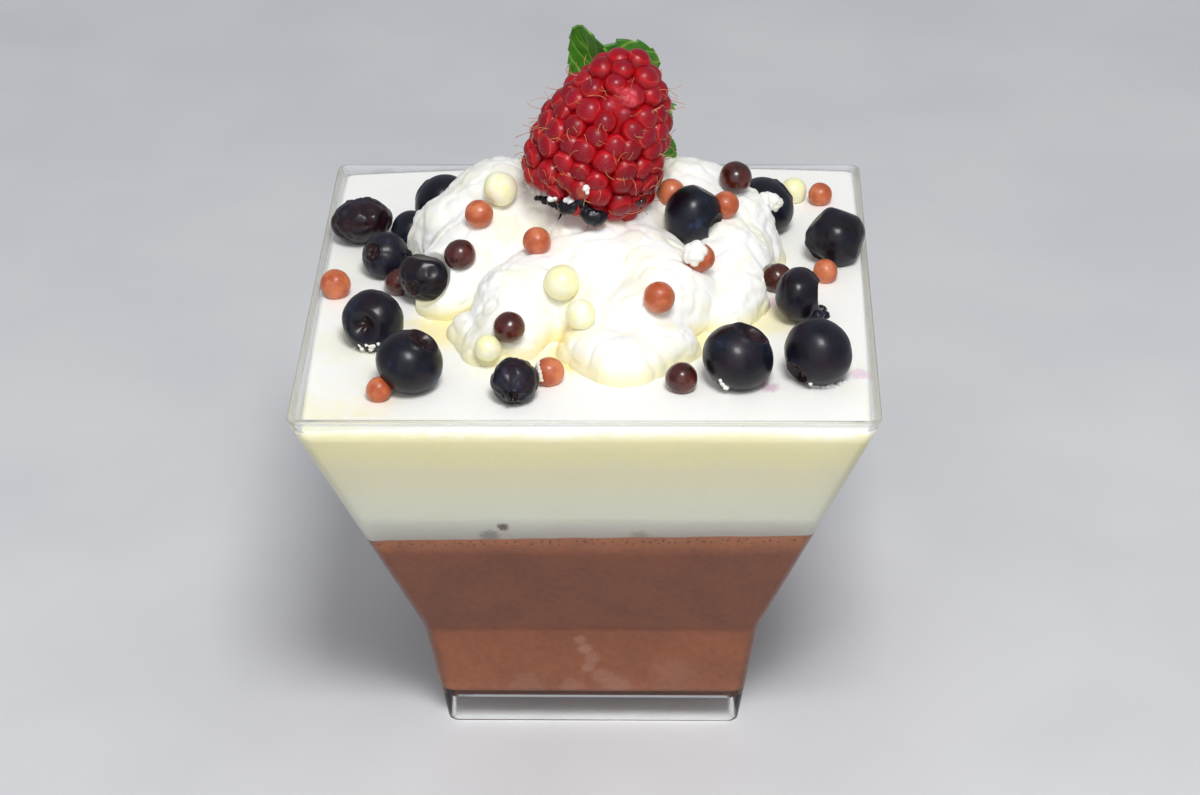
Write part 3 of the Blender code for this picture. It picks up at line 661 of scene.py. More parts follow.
# %% Geometry tree for beads
def sockets(tree, inputs):
    """Gives a geometry tree its named inputs and its one output, and returns its first node."""
    for name, kind in inputs:
        tree.interface.new_socket(name, in_out="INPUT", socket_type=f"NodeSocket{kind}")
    tree.interface.new_socket("Result", in_out="OUTPUT", socket_type="NodeSocketGeometry")
    return add(tree, "NodeGroupInput").outputs


def attribute(tree, name, kind):
    """Reads a named attribute inside a geometry tree."""
    made = add(tree, "GeometryNodeInputNamedAttribute", {"Name": name}, data_type=kind)
    return made.outputs["Attribute"]


def store(tree, geometry, name, value, kind, domain):
    """Writes a named attribute inside a geometry tree."""
    inputs = {"Geometry": geometry, "Name": name, "Value": value}
    made = add(tree, "GeometryNodeStoreNamedAttribute", inputs, data_type=kind, domain=domain)
    return made.outputs["Geometry"]


def end_tree(tree, geometry, given):
    """Ends a tree in smooth shading, the given material and the group's output."""
    smooth = add(tree, "GeometryNodeSetShadeSmooth", {"Geometry": geometry}).outputs[0]
    inputs = {"Geometry": smooth, "Material": given["Finish"]}
    dressed = add(tree, "GeometryNodeSetMaterial", inputs).outputs[0]
    add(tree, "NodeGroupOutput", {"Result": dressed})


def facing(tree):
    """The turn that lays a thing's own Z axis along a point's outward direction."""
    outward = attribute(tree, "outward", "FLOAT_VECTOR")
    turn = add(tree, "FunctionNodeAlignRotationToVector", {"Vector": outward}, axis="Z")
    return turn.outputs[0]


def bead_tree():
    """A ball on each point, as wide as its width, slightly uneven."""
    tree = bpy.data.node_groups.new("beads", "GeometryNodeTree")
    kinds = [("Points", "Geometry"), ("Detail", "Int"), ("Unevenness", "Float"), ("Lumps", "Float")]
    given = sockets(tree, [*kinds, ("Seed", "Int"), ("Finish", "Material")])
    ball = add(tree, "GeometryNodeMeshIcoSphere", {"Radius": 0.5, "Subdivisions": given["Detail"]})
    here = add(tree, "GeometryNodeInputPosition").outputs[0]
    marked = store(tree, ball.outputs["Mesh"], "own", here, "FLOAT_VECTOR", "POINT")
    inputs = {"Points": given["Points"], "Instance": marked, "Rotation": facing(tree)}
    inputs["Scale"] = attribute(tree, "width", "FLOAT")
    placed = add(tree, "GeometryNodeInstanceOnPoints", inputs).outputs[0]
    tone = add(tree, "FunctionNodeRandomValue", {"Seed": given["Seed"]}, data_type="FLOAT")
    toned = store(tree, placed, "tone", tone.outputs[1], "FLOAT", "INSTANCE")
    solid = add(tree, "GeometryNodeRealizeInstances", {"Geometry": toned}).outputs[0]
    place = add(tree, "GeometryNodeInputPosition").outputs[0]
    lumps = add(tree, "ShaderNodeTexNoise", {"Vector": place, "Scale": given["Lumps"]})
    swelling = calculate(tree, "SUBTRACT", lumps.outputs["Fac"])
    push = calculate(tree, "MULTIPLY", swelling, given["Unevenness"])
    normal = add(tree, "GeometryNodeInputNormal").outputs[0]
    inputs = {"Vector": normal, "Scale": push}
    offset = add(tree, "ShaderNodeVectorMath", inputs, operation="SCALE").outputs[0]
    moved = add(tree, "GeometryNodeSetPosition", {"Geometry": solid, "Offset": offset}).outputs[0]
    end_tree(tree, moved, given)
    return tree


def grow(thing, tree, settings):
    """Runs a geometry tree on an object with its named inputs set, and keeps the plain mesh."""
    modifier = thing.modifiers.new(tree.name, "NODES")
    modifier.node_group = tree
    for item in tree.interface.items_tree:
        if item.in_out == "INPUT" and item.name in settings:
            modifier[item.identifier] = settings[item.name]
    settle(thing)


def points_piece(name, spots):
    """An object of bare points with their widths and outward directions."""
    mesh = bpy.data.meshes.new(name)
    mesh.from_pydata([spot[0] for spot in spots], [], [])
    widths = [spot[2] for spot in spots]
    mesh.attributes.new("width", "FLOAT", "POINT").data.foreach_set("value", widths)
    flat = [value for spot in spots for value in spot[1]]
    mesh.attributes.new("outward", "FLOAT_VECTOR", "POINT").data.foreach_set("vector", flat)
    thing = bpy.data.objects.new(name, mesh)
    bpy.context.scene.collection.objects.link(thing)
    return thing


BEADS = bead_tree()


def beads(name, spots, material, detail=3, unevenness=0.0, pitch=MM, seed=1):
    """Balls at (centre, outward direction, width) as one plain mesh."""
    thing = points_piece(name, spots)
    settings = {"Detail": detail, "Unevenness": unevenness, "Lumps": 1 / pitch, "Seed": seed}
    grow(thing, BEADS, {**settings, "Finish": material})
    return thing


# %% [markdown]
# ## Whipped cream
# The cream was spooned on in soft tongues that melted into one another. Runs of balls give the
# tongues, a voxel remesh melts them, and smoothing takes out the seams. Three sizes of noise then
# push the surface along its normals: soft lumps, folds with creases, and a fine torn grain. The
# underside is cut off along the vanilla, because nothing of it can be seen.

# %% Hollows pressed into soft things
def pressed(point, balls, soft):
    """A point moved in wherever it is inside a ball, with an edge that is soft over a distance."""
    for centre, radius in balls:
        away = point - centre
        depth = radius - away.length
        if depth > -soft:
            push = depth if depth > soft else (depth + soft) ** 2 / (4 * soft)
            point = point + away.normalized() * push
    return point


def melt(thing, voxel, smoothing):
    """Joins the beads of a piece into one soft surface."""
    remesh = thing.modifiers.new("Melt", "REMESH")
    remesh.mode = "VOXEL"
    remesh.voxel_size = voxel
    smooth = thing.modifiers.new("Soften", "SMOOTH")
    smooth.iterations = smoothing
    settle(thing)


def dress(thing, material):
    """Gives a piece smooth shading and its one material."""
    thing.data.polygons.foreach_set("use_smooth", [True] * len(thing.data.polygons))
    thing.data.materials.clear()
    thing.data.materials.append(material)


# %% Tongues of cream
CREAM_TONGUES = {
    "left_mass": (
        (-7, 16, 62.5, 9.5), (-13, 12, 64, 10.5), (-17.5, 10, 62.5, 8.8), (-22, 11.5, 61.5, 6.4),
    ),
    "right_mass": (
        (8, 15, 63, 10), (13, 12, 64, 10.5), (18, 10.5, 63.5, 8.8), (21.5, 8, 61.5, 6.3),
    ),
    "back_mass": ((-8, 22, 60, 8), (2, 22, 61.5, 9), (12, 22, 60.5, 8)),
    "heart": ((-3, 9, 65.5, 9.5), (3, 8, 65.5, 9.5), (0, 0, 63.5, 9.5), (0, -9, 59.5, 8.8)),
    "left_tongue": ((-14, 6, 64, 8), (-18.5, -1.5, 62.5, 6.8), (-20.5, -5.5, 61.5, 4.6)),
    "front_left_tongue": ((-4, -2, 62.5, 7.5), (-9.5, -10, 62.5, 7), (-11, -17, 61, 5.2)),
    "front_left_ledge": ((-16, -14, 59.5, 4.2), (-14, -19, 59, 4.2)),
    "front_right_tongue": ((7, -3, 63.5, 8), (11, -9, 62.5, 7.5), (7, -14, 61.5, 6.5)),
    "front_ledge": ((0, -19, 60, 4.8), (5, -23.5, 59.8, 5.4), (11, -19, 60, 5)),
    "right_tongue": ((19, 3, 62.5, 7.5), (20.2, -4, 61.5, 6), (18.8, -9.5, 60, 4.8)),
}
TONGUE_STEPS = 6
CREAM_VOXEL = 0.30 * MM
CREAM_SMOOTHING = 34
CREAM_SINK = 0.3 * MM
# Hollows below the raspberry and beside a berry and a pearl: centre and radius in millimetres
CREAM_HOLLOWS = (((-1.8, -3.0, 76.2), 4.8), ((-24.6, -7.2, 66.6), 5.0), ((26.8, -3.6, 62.6), 3.6))
HOLLOW_SOFTNESS = 0.5 * MM
# Noise that shapes the cream: its height and its pitch
CREAM_LUMP = (0.5 * MM, 6.0 * MM)
CREAM_FOLD = (0.55 * MM, 4.2 * MM)
CREAM_TEAR = (0.30 * MM, 1.5 * MM)
CREAM_GRAIN = (0.09 * MM, 0.55 * MM)
FOLD_SHARPNESS = 2.6
TORN_PITCH = 6.5 * MM
TORN_CONTRAST = 2.5
TORN_LEAST = 0.15
CUTTER_SPREAD = 1.2
CUTTER_FLOOR = 20 * MM
# Warm shadows and brown specks of syrup: centre in millimetres, radius, strength, colour
CREAM_SPOTS = (
    ((-2.6, -18.5, 61.8), 3.6, 0.8, tint(250, 226, 140)),
    ((-3.6, -18.9, 61.6), 0.9, 0.8, tint(170, 112, 40)),
    ((13.0, -14.5, 61.8), 2.6, 0.7, tint(250, 228, 150)),
    ((12.6, -14.6, 62.0), 0.6, 0.9, tint(176, 120, 44)),
    ((-1.0, -14.0, 64.5), 3.5, 0.5, tint(253, 246, 190)),
)


def whipped_cream_finish():
    """White cream: soft, faintly yellow, yellower at its foot as a painted warm shade, with a fine
    grain.
    """
    constants = {"Subsurface Weight": 0.35, "Subsurface Scale": 2.5 * MM}
    constants["Specular IOR Level"] = 0.35
    constants["Subsurface Radius"] = (1.0, 0.9, 0.7)
    material, tree, shader, place = finish("whipped_cream", constants)
    patches = speckle(tree, place, 5 * MM, 2.0)
    colour = ramp(tree, patches, [(0.3, tint(254, 250, 230)), (0.6, tint(254, 253, 246))])
    # Painted warm shade: the cream turns yellow low down, where it meets the mousse
    low = ramp(tree, calculate(tree, "DIVIDE", height_of(tree, place), 70 * MM), [
        (0.872, grey(0.75)),
        (0.91, grey(0.0)),
    ])
    colour = blend(tree, low, colour, tint(252, 241, 184))
    colour = spotted(tree, place, colour, CREAM_SPOTS)
    tree.links.new(colour, shader.inputs["Base Color"])
    grain = speckle(tree, place, 0.7 * MM, 4.0, 0.6)
    roughen(tree, shader, grain, (0.3, 0.6), (0.7, 0.42))
    emboss(tree, shader, grain, 0.10 * MM, 0.7)
    return material


def fold_height(place):
    """How far the cream's surface stands out at a place."""
    lump = CREAM_LUMP[0] * noise.noise(place / CREAM_LUMP[1])
    fold = 0.5 - min(1.0, FOLD_SHARPNESS * abs(noise.noise(place / CREAM_FOLD[1] + UP * 7)))
    torn = 0.5 + TORN_CONTRAST * noise.noise(place / TORN_PITCH + UP * 3)
    torn = min(1.0, max(TORN_LEAST, torn))
    tear = CREAM_TEAR[0] * noise.noise(place / CREAM_TEAR[1])
    grain = CREAM_GRAIN[0] * noise.noise(place / CREAM_GRAIN[1])
    return lump - CREAM_FOLD[0] * max(0.0, fold) + torn * (tear + grain)


def ground_cutter():
    """The space of the vanilla and below, to cut off the cream's underside."""
    edge = []
    for point in surface_ring(VANILLA_LEVEL, vanilla_top):
        top = vanilla_top(point.x, point.y)
        wide = Vector((point.x * CUTTER_SPREAD, point.y * CUTTER_SPREAD, top))
        edge.append(wide - UP * CREAM_SINK)
    low = [Vector((point.x, point.y, CUTTER_FLOOR)) for point in edge]
    inner = surface_ring(VANILLA_LEVEL, vanilla_top, -CREAM_SINK)
    inwards = [shrunk(inner, scale, vanilla_top, -CREAM_SINK) for scale in (0.98, 0.8, 0.55, 0.25)]
    return loft("ground_cutter", [low, edge, *inwards], None)


def cream_form(material):
    """The tongues melted together, folded and cut off along the vanilla."""
    spots = []
    for tongue in CREAM_TONGUES.values():
        for start, end in zip(tongue, tongue[1:]):
            for step in range(TONGUE_STEPS + 1):
                x, y, z, radius = Vector(start).lerp(Vector(end), step / TONGUE_STEPS)
                spots.append((Vector((x, y, z)) * MM, UP, 2 * radius * MM))
    cream = beads("cream", spots, material)
    melt(cream, CREAM_VOXEL, CREAM_SMOOTHING)
    vertices = cream.data.vertices
    hollows = [(Vector(centre) * MM, radius * MM) for centre, radius in CREAM_HOLLOWS]
    moves = [vertex.normal * fold_height(vertex.co) for vertex in vertices]
    for vertex, move in zip(vertices, moves):
        vertex.co = pressed(vertex.co, hollows, HOLLOW_SOFTNESS) + move
    cutter = ground_cutter()
    cut = cream.modifiers.new("Cut underside", "BOOLEAN")
    cut.operation = "DIFFERENCE"
    cut.solver = "MANIFOLD"
    cut.object = cutter
    settle(cream)
    bpy.data.objects.remove(cutter, do_unlink=True)
    dress(cream, material)
    return cream


cream = cream_form(whipped_cream_finish())
register(cream, "whipped_cream", "whipped_cream")

# %% [markdown]
# ## Sugar pearls
# Crisp pearls in three coats lie on the mousse and the cream, each sunk a little. Only their places
# seen from above and their widths are stated: a ray cast straight down finds the surface, and the
# pearl is set on it along the surface's own normal. Each coat is one piece with one finish.

# %% Places of the pearls
# Each pearl: x and y in millimetres, width, coat, and for some how deep it is sunk
PEARLS_ON_MOUSSE = (
    (-36.5, -1.5, 4.4, "milk"),
    (-28.0, -30.5, 3.5, "milk"),
    (-5.0, -27.0, 4.1, "milk"),
    (33.5, 27.0, 3.6, "milk"),
    (33.5, 2.1, 3.6, "milk"),
    (13.0, -29.0, 4.4, "dark"),
    (26.5, -0.7, 4.3, "dark"),
    (-27.5, -1.0, 4.1, "dark"),
    (29.5, 28.0, 4.0, "white"),
)
PEARLS_ON_CREAM = (
    (-15.5, 1.5, 4.1, "milk"),
    (-7.0, -6.0, 4.0, "milk"),
    (9.5, -17.0, 4.4, "milk"),
    (15.0, -8.5, 4.1, "milk", 0.2),
    (11.5, 6.5, 4.1, "milk", 0.45),
    (18.5, 5.0, 4.0, "milk"),
    (-18.5, -5.0, 4.5, "dark", 0.34),
    (-10.5, -20.0, 4.4, "dark"),
    (20.0, 10.0, 4.7, "dark"),
    (-13.0, 6.0, 4.9, "white"),
    (-3.5, -12.5, 5.0, "white"),
    (-0.5, -18.5, 4.3, "white"),
    (-13.5, -21.5, 3.8, "white"),
)
PEARL_SINK = 0.12


def surface_under(thing):
    """A function that finds the surface of a piece below a place, with its normal."""
    tree = BVHTree.FromObject(thing, bpy.context.evaluated_depsgraph_get())

    def look(x, y):
        point, normal, _, _ = tree.ray_cast(Vector((x * MM, y * MM, 200 * MM)), -UP)
        return point, normal

    return look


on_vanilla = surface_under(vanilla_layer)
on_cream = surface_under(cream)


def pearl_spots(kind):
    """Centre, direction and width of every pearl of one kind."""
    spots = []
    for places, look in ((PEARLS_ON_MOUSSE, on_vanilla), (PEARLS_ON_CREAM, on_cream)):
        for x, y, width, coat, *deeper in places:
            if coat == kind:
                sink = deeper[0] if deeper else PEARL_SINK
                point, normal = look(x, y)
                spots.append((point + normal * width * MM * (0.5 - sink), normal, width * MM))
    return spots


# %% Coats of the pearls
def pearl_coat(name, deep, pale, rough, gloss):
    """A sugar shell: mottled colour, small dimples, and a satin or glossy skin."""
    constants = {"Coat Weight": gloss, "Coat Roughness": 0.12, "Subsurface Weight": 0.15}
    constants["Subsurface Scale"] = 0.8 * MM
    material, tree, shader, place = finish(name, constants)
    clouds = speckle(tree, place, 2.2 * MM, 3.0, 0.5)
    tree.links.new(ramp(tree, clouds, [(0.35, deep), (0.68, pale)]), shader.inputs["Base Color"])
    skin = speckle(tree, place, 0.6 * MM, 3.0)
    roughen(tree, shader, skin, (0.3, rough - 0.06), (0.7, rough + 0.06))
    emboss(tree, shader, skin, 0.04 * MM, 0.6)
    return material


COATS = {
    "milk": pearl_coat("milk_pearl", tint(178, 82, 43), tint(212, 124, 82), 0.42, 0.2),
    "dark": pearl_coat("dark_pearl", tint(56, 15, 10), tint(88, 31, 21), 0.30, 0.3),
    "white": pearl_coat("white_pearl", tint(254, 250, 190), tint(255, 254, 228), 0.38, 0.2),
}
PEARL_DETAIL = 4
PEARL_UNEVENNESS = 0.34 * MM
PEARL_LUMPS = 2.6 * MM
for seed, (kind, coat) in enumerate(COATS.items()):
    form = (PEARL_DETAIL, PEARL_UNEVENNESS, PEARL_LUMPS, seed)
    pearls = beads(f"pearls_{kind}", pearl_spots(kind), coat, *form)
    register(pearls, f"{kind}_pearl")

# %% [markdown]
# ## Blueberries
# A blueberry is a flattened ball with a crown: a wide smooth bowl where the flower was. Some of
# these have shrunk and carry creases that run from pole to pole, and soft ones took flats and dents
# from their neighbours. Rings of points round a half outline give full control of all of it: each
# berry has its own crown, a crease is a narrow valley of noise, and a dent is a ball pressed into
# the skin. Two attributes, crown and crease, let the shader colour those places.

# %% Blueberries: places and forms
# Middle, width, height as a share of the width, lean and heading of the crown's axis in degrees,
# strength of the wrinkles, and the crown's radius as a share of the berry's
BLUEBERRIES = {
    "blueberry_01": (-34.2, 15.5, 63.6, 9.6, 0.72, 25, 110, 1.0, 0.36),
    "blueberry_02": (-22.5, 19.5, 64.5, 8.8, 0.88, 70, 150, 0.0, 0.42),
    "blueberry_03": (-26.5, 12.0, 63.4, 6.6, 0.90, 100, 200, 0.0, 0.42),
    "blueberry_04": (-29.8, 4.5, 63.4, 7.0, 0.95, 57, 233, 0.3, 0.38),
    "blueberry_05": (-23.7, -4.0, 64.3, 7.9, 0.80, 95, 244, 0.8, 0.30),
    "blueberry_06": (-30.0, -15.5, 63.5, 8.9, 0.90, 75, 250, 0.2, 0.62),
    "blueberry_07": (-24.0, -28.0, 63.9, 9.4, 0.90, 31, 0, 0.0, 0.48),
    "blueberry_08": (-9.5, -31.5, 62.9, 6.8, 0.95, 100, 268, 0.8, 0.26),
    "blueberry_09": (14.5, 2.5, 71.2, 8.5, 0.93, 104, 330, 0.0, 0.44),
    "blueberry_10": (25.0, 18.0, 64.7, 9.0, 0.92, 60, 30, 0.0, 0.42),
    "blueberry_11": (35.2, 8.8, 64.3, 9.0, 0.98, 120, 200, 0.3, 0.42),
    "blueberry_12": (29.4, -9.4, 64.5, 7.9, 0.84, 85, 350, 0.3, 0.50),
    "blueberry_13": (31.8, -14.0, 61.9, 3.2, 0.92, 120, 90, 0.0, 0.42),
    "blueberry_14": (20.7, -27.0, 64.2, 9.9, 0.90, 27, 12, 0.0, 0.52),
    "blueberry_15": (31.6, -25.6, 64.2, 9.6, 0.94, 112, 224, 0.1, 0.40),
    "blueberry_16": (-2.2, 1.5, 69.0, 8.0, 0.90, 60, 180, 0.3, 0.42),
}
# The crown's bowl as (share of its radius, share of its depth, mark), and the swelling beyond its
# rim as (share of the crown's radius, share of the swelling, mark)
CROWN_BOWL = (
    (0.0, 0.90, 1.0), (0.2, 0.94, 1.0), (0.4, 1.0, 1.0), (0.55, 0.98, 1.0), (0.68, 0.84, 1.0),
    (0.79, 0.58, 0.95), (0.88, 0.30, 0.8), (0.95, 0.08, 0.5),
)
CROWN_EDGE = ((1.01, 1.0, 0.25), (1.08, 0.8, 0.05), (1.17, 0.3, 0.0))
# A crown wider than this is a soft dimple without a swollen edge, in this many steps
WIDE_CROWN = 0.6
DIMPLE_STEPS = 12
CROWN_DEPTH = 0.44
CROWN_SWELLING = 0.05
CROWN_END = 1.27
CROWN_LOBES = 5
CROWN_FRILL = 0.025
# Balls pressed into soft berries: direction, nearest point and radius, in shares of its radius
PRESSED = {
    "blueberry_01": (
        ((-0.35, -0.66, 0.66), 0.80, 0.45),
        ((0.30, -0.61, 0.75), 0.82, 0.55),
        ((-0.05, -0.96, 0.20), 0.86, 0.50),
        ((0.75, -0.50, 0.30), 0.86, 0.50),
    ),
    "blueberry_05": (
        ((0.35, -0.75, 0.60), 0.84, 0.55),
        ((-0.10, -0.95, -0.25), 0.84, 0.40),
        ((0.10, 0.20, 0.97), 0.76, 3.0),
        ((-0.10, -0.45, -0.88), 0.78, 3.0),
    ),
    "blueberry_06": (((0.05, -0.30, 0.95), 0.92, 1.5),),
    "blueberry_08": (
        ((-0.32, -0.92, -0.21), 0.76, 0.22),
        ((0.36, -0.91, -0.22), 0.76, 0.22),
        ((-0.10, -0.72, 0.66), 0.88, 0.50),
    ),
    "blueberry_09": (((0.50, 0.29, 0.81), 0.86, 3.0), ((-0.80, -0.10, 0.50), 0.94, 3.0)),
    "blueberry_11": (
        ((-0.75, 0.23, 0.62), 0.84, 3.0),
        ((0.95, -0.24, -0.21), 0.84, 3.0),
        ((0.35, 0.37, 0.86), 0.86, 3.0),
        ((-0.60, -0.48, -0.65), 0.84, 3.0),
    ),
    "blueberry_12": (((1.0, 0.10, -0.02), 0.60, 0.9),),
    "blueberry_14": (((-0.40, -0.60, -0.70), 0.93, 3.0),),
}
PRESS_SOFTNESS = 0.07
BERRY_STEPS = 34
BERRY_SEGMENTS = 60
BERRY_POLE = 0.06
BERRY_LUMP = 0.02
BERRY_LUMP_PITCH = 0.77
BERRY_DENT = 0.14
BERRY_DENT_PITCH = 0.45
BERRY_CREASE = 0.11
# Creases: how fast their noise runs round a berry and along it, and how they fade at its poles
CREASE_ROUND = 1.5
CREASE_ALONG = 1.2
CREASE_FADE = 1.4
# The narrow and the wide creases: sharpness and share of the depth
CREASE_NARROW = (5.0, 0.7)
CREASE_WIDE = (2.0, 0.5)
CREASE_WIDE_PACE = 0.6


def berry_place(spec):
    """Where a blueberry's own frame sits, with its crown leaning to its heading."""
    lean, heading = math.radians(spec[5]), math.radians(spec[6])
    turn = Matrix.Rotation(heading, 4, "Z") @ Matrix.Rotation(lean, 4, "Y")
    return Matrix.Translation(Vector(spec[:3]) * MM) @ turn


def berry_outline(rim):
    """The half outline for a crown's radius, with a mark that is 1 in the crown and 0 beyond."""
    outline = []
    if rim > WIDE_CROWN:
        for step in range(DIMPLE_STEPS + 1):
            reach = rim * step / DIMPLE_STEPS
            depth = 0.5 + 0.5 * math.cos(math.pi * step / DIMPLE_STEPS)
            outline.append((reach, math.sqrt(1 - reach ** 2) - depth * CROWN_DEPTH, depth ** 2))
    else:
        top = math.sqrt(1 - rim ** 2) + CROWN_SWELLING
        for share, depth, mark in CROWN_BOWL:
            outline.append((share * rim, top - depth * CROWN_DEPTH * rim, mark))
        for share, swelling, mark in CROWN_EDGE:
            height = math.sqrt(1 - (share * rim) ** 2)
            outline.append((share * rim, height + swelling * CROWN_SWELLING, mark))
    start, end = math.asin(CROWN_END * rim), math.pi - BERRY_POLE
    for step in range(BERRY_STEPS):
        angle = start + (end - start) * step / (BERRY_STEPS - 1)
        outline.append((math.sin(angle), math.cos(angle), 0.0))
    return outline


def crease_depth(turn, rise, offset):
    """Narrow valleys that run from pole to pole, between wide hollows."""
    x, y = CREASE_ROUND * math.cos(turn), CREASE_ROUND * math.sin(turn)
    spot = Vector((x, y, CREASE_ALONG * rise)) + offset
    narrow = max(0.0, 1 - CREASE_NARROW[0] * abs(noise.noise(spot)))
    wide = max(0.0, 1 - CREASE_WIDE[0] * abs(noise.noise(spot * CREASE_WIDE_PACE + UP * 4)))
    return CREASE_NARROW[1] * narrow + CREASE_WIDE[1] * wide


def berry_presses(name, radius):
    """The balls that are pressed into one berry, about its middle."""
    balls = []
    for way, nearest, ball in PRESSED.get(name, ()):
        balls.append((Vector(way).normalized() * (nearest + ball) * radius, ball * radius))
    return balls


def berry_piece(name, spec, material):
    """One blueberry as rings of points round its own axis."""
    radius, half, wrinkle = spec[3] * MM / 2, spec[3] * spec[4] * MM / 2, spec[7]
    balls = berry_presses(name, radius)
    offset = Vector(spec[:3])
    place = berry_place(spec)
    solid = bmesh.new()
    crown_mark = solid.verts.layers.float.new("crown")
    crease_mark = solid.verts.layers.float.new("crease")
    rings = []
    for level, (reach, rise, crown) in enumerate(berry_outline(spec[8])):
        ring = []
        for segment in range(BERRY_SEGMENTS if level else 1):
            turn = 2 * math.pi * segment / BERRY_SEGMENTS
            frill = CROWN_FRILL * crown * math.cos(CROWN_LOBES * turn + offset.x)
            out = radius * reach * (1 + frill)
            point = Vector((out * math.cos(turn), out * math.sin(turn), half * (rise + frill)))
            direction = point.normalized()
            lump = noise.noise(direction / BERRY_LUMP_PITCH + offset)
            dent = max(0.0, noise.noise(direction / BERRY_DENT_PITCH - offset))
            fade = min(1.0, reach * CREASE_FADE)
            crease = wrinkle * crease_depth(turn, direction.z, offset) * fade
            point *= 1 + BERRY_LUMP * lump - BERRY_DENT / 2 * wrinkle * dent - BERRY_CREASE * crease
            turned = pressed(place.to_3x3() @ point, balls, PRESS_SOFTNESS * radius)
            vertex = solid.verts.new(turned + place.translation)
            vertex[crown_mark] = crown
            vertex[crease_mark] = crease
            ring.append(vertex)
        rings.append(ring)
    for upper, lower in zip(rings, rings[1:]):
        for here in range(BERRY_SEGMENTS):
            there = (here + 1) % BERRY_SEGMENTS
            if len(upper) == 1:
                solid.faces.new((upper[0], lower[here], lower[there]))
            else:
                solid.faces.new((upper[here], lower[here], lower[there], upper[there]))
    solid.faces.new(list(reversed(rings[-1])))
    bmesh.ops.recalc_face_normals(solid, faces=solid.faces)
    mesh = bpy.data.meshes.new(name)
    solid.to_mesh(mesh)
    solid.free()
    return new_piece(f"{name}_fruit", mesh, material)


# %% Finish of the blueberries
def mark(tree, name):
    """A number that the mesh carries, read in a shader."""
    return add(tree, "ShaderNodeAttribute", attribute_name=name).outputs["Fac"]


def blueberry_skin():
    """Near-black navy skin with a thin bloom, purple creases and a brown crown."""
    constants = {"Coat Weight": 0.15, "Coat Roughness": 0.18, "Specular IOR Level": 0.26}
    material, tree, shader, place = finish("blueberry_skin", constants)
    clouds = speckle(tree, place, 3.6 * MM, 4.0, 0.6)
    shades = [(0.36, tint(11, 12, 19)), (0.56, tint(18, 21, 34)), (0.78, tint(46, 55, 82))]
    skin = ramp(tree, clouds, shades)
    purple = speckle(tree, place, 5.5 * MM, 1.0)
    share = ramp(tree, purple, [(0.52, grey(0.0)), (0.75, grey(0.45))])
    skin = blend(tree, share, skin, tint(38, 17, 28))
    skin = blend(tree, mark(tree, "crease"), skin, tint(42, 20, 26))
    crown = calculate(tree, "MULTIPLY", mark(tree, "crown"), 0.7)
    browns = [(0.35, tint(20, 11, 14)), (0.7, tint(62, 31, 30))]
    floor = ramp(tree, speckle(tree, place, 1.2 * MM, 3.0), browns)
    skin = blend(tree, crown, skin, floor)
    tree.links.new(skin, shader.inputs["Base Color"])
    roughen(tree, shader, clouds, (0.35, 0.30), (0.75, 0.52))
    emboss(tree, shader, speckle(tree, place, 0.7 * MM, 3.0), 0.03 * MM, 0.5)
    return material


berry_skin = blueberry_skin()
for name, spec in BLUEBERRIES.items():
    register(berry_piece(name, spec, berry_skin), "blueberry_skin", name)

# %% [markdown]
# ## The raspberry
# A raspberry is a hollow cone of small juicy drupelets. They sit in rows round a leaning axis, each
# row shifted by half a drupelet, and each swells outwards. The rows follow the fruit's own outline,
# and the same beads tree as for the pearls grows them. A core closes the gaps between them. Fine
# golden hairs, the remains of the flower, are curves bent by a second tree.

# %% Raspberry: outline and rows
RASPBERRY_BASE = Vector((-2.0, 4.5, 73.1)) * MM
RASPBERRY_LEAN = (9.8, 0.5, 23.0)
RASPBERRY_LENGTH = 24.2 * MM
RASPBERRY_RADIUS = 9.8 * MM
RASPBERRY_WIDEST = 0.25
RASPBERRY_MOUTH = 0.20
RASPBERRY_TAPER = 1.85
DRUPELET_WIDTH = 3.3 * MM
DRUPELET_INSET = 1.68 * MM
DRUPELET_FIRST_ROW = 0.105
DRUPELET_ROW_PITCH = 0.76
DRUPELET_SPACING = 0.86
DRUPELET_WIDTHS = (1.02, 1.30)
DRUPELET_SHIFT = 0.2
DRUPELET_LIFT = 0.50 * MM
DRUPELET_CENTRE = 0.42
DRUPELET_SPREAD = 0.8
DRUPELET_SEED = 5
OUTLINE_SAMPLES = 200
# Where a drupelet has dried up: drupelets this near the place are sunk this deep
BARE_PLACE = Vector((4.9, -1.3, 90.7)) * MM
BARE_REACH = 2.4 * MM
BARE_DEPTH = 1.1 * MM
BARE_WIDTH = 2.3


def raspberry_radius(along):
    """The raspberry's radius at a fraction of its length from the open end."""
    if along < RASPBERRY_WIDEST:
        below = 1 - along / RASPBERRY_WIDEST
        return RASPBERRY_RADIUS * (1 - RASPBERRY_MOUTH * below ** 2)
    reach = (along - RASPBERRY_WIDEST) / (1 - RASPBERRY_WIDEST)
    return RASPBERRY_RADIUS * math.sqrt(max(0.0, 1 - reach ** RASPBERRY_TAPER))


def raspberry_matrix():
    """Turns the raspberry's own frame to where it leans in the cream."""
    lean = Vector(RASPBERRY_LEAN).to_track_quat("Z", "Y").to_matrix().to_4x4()
    return Matrix.Translation(RASPBERRY_BASE) @ lean


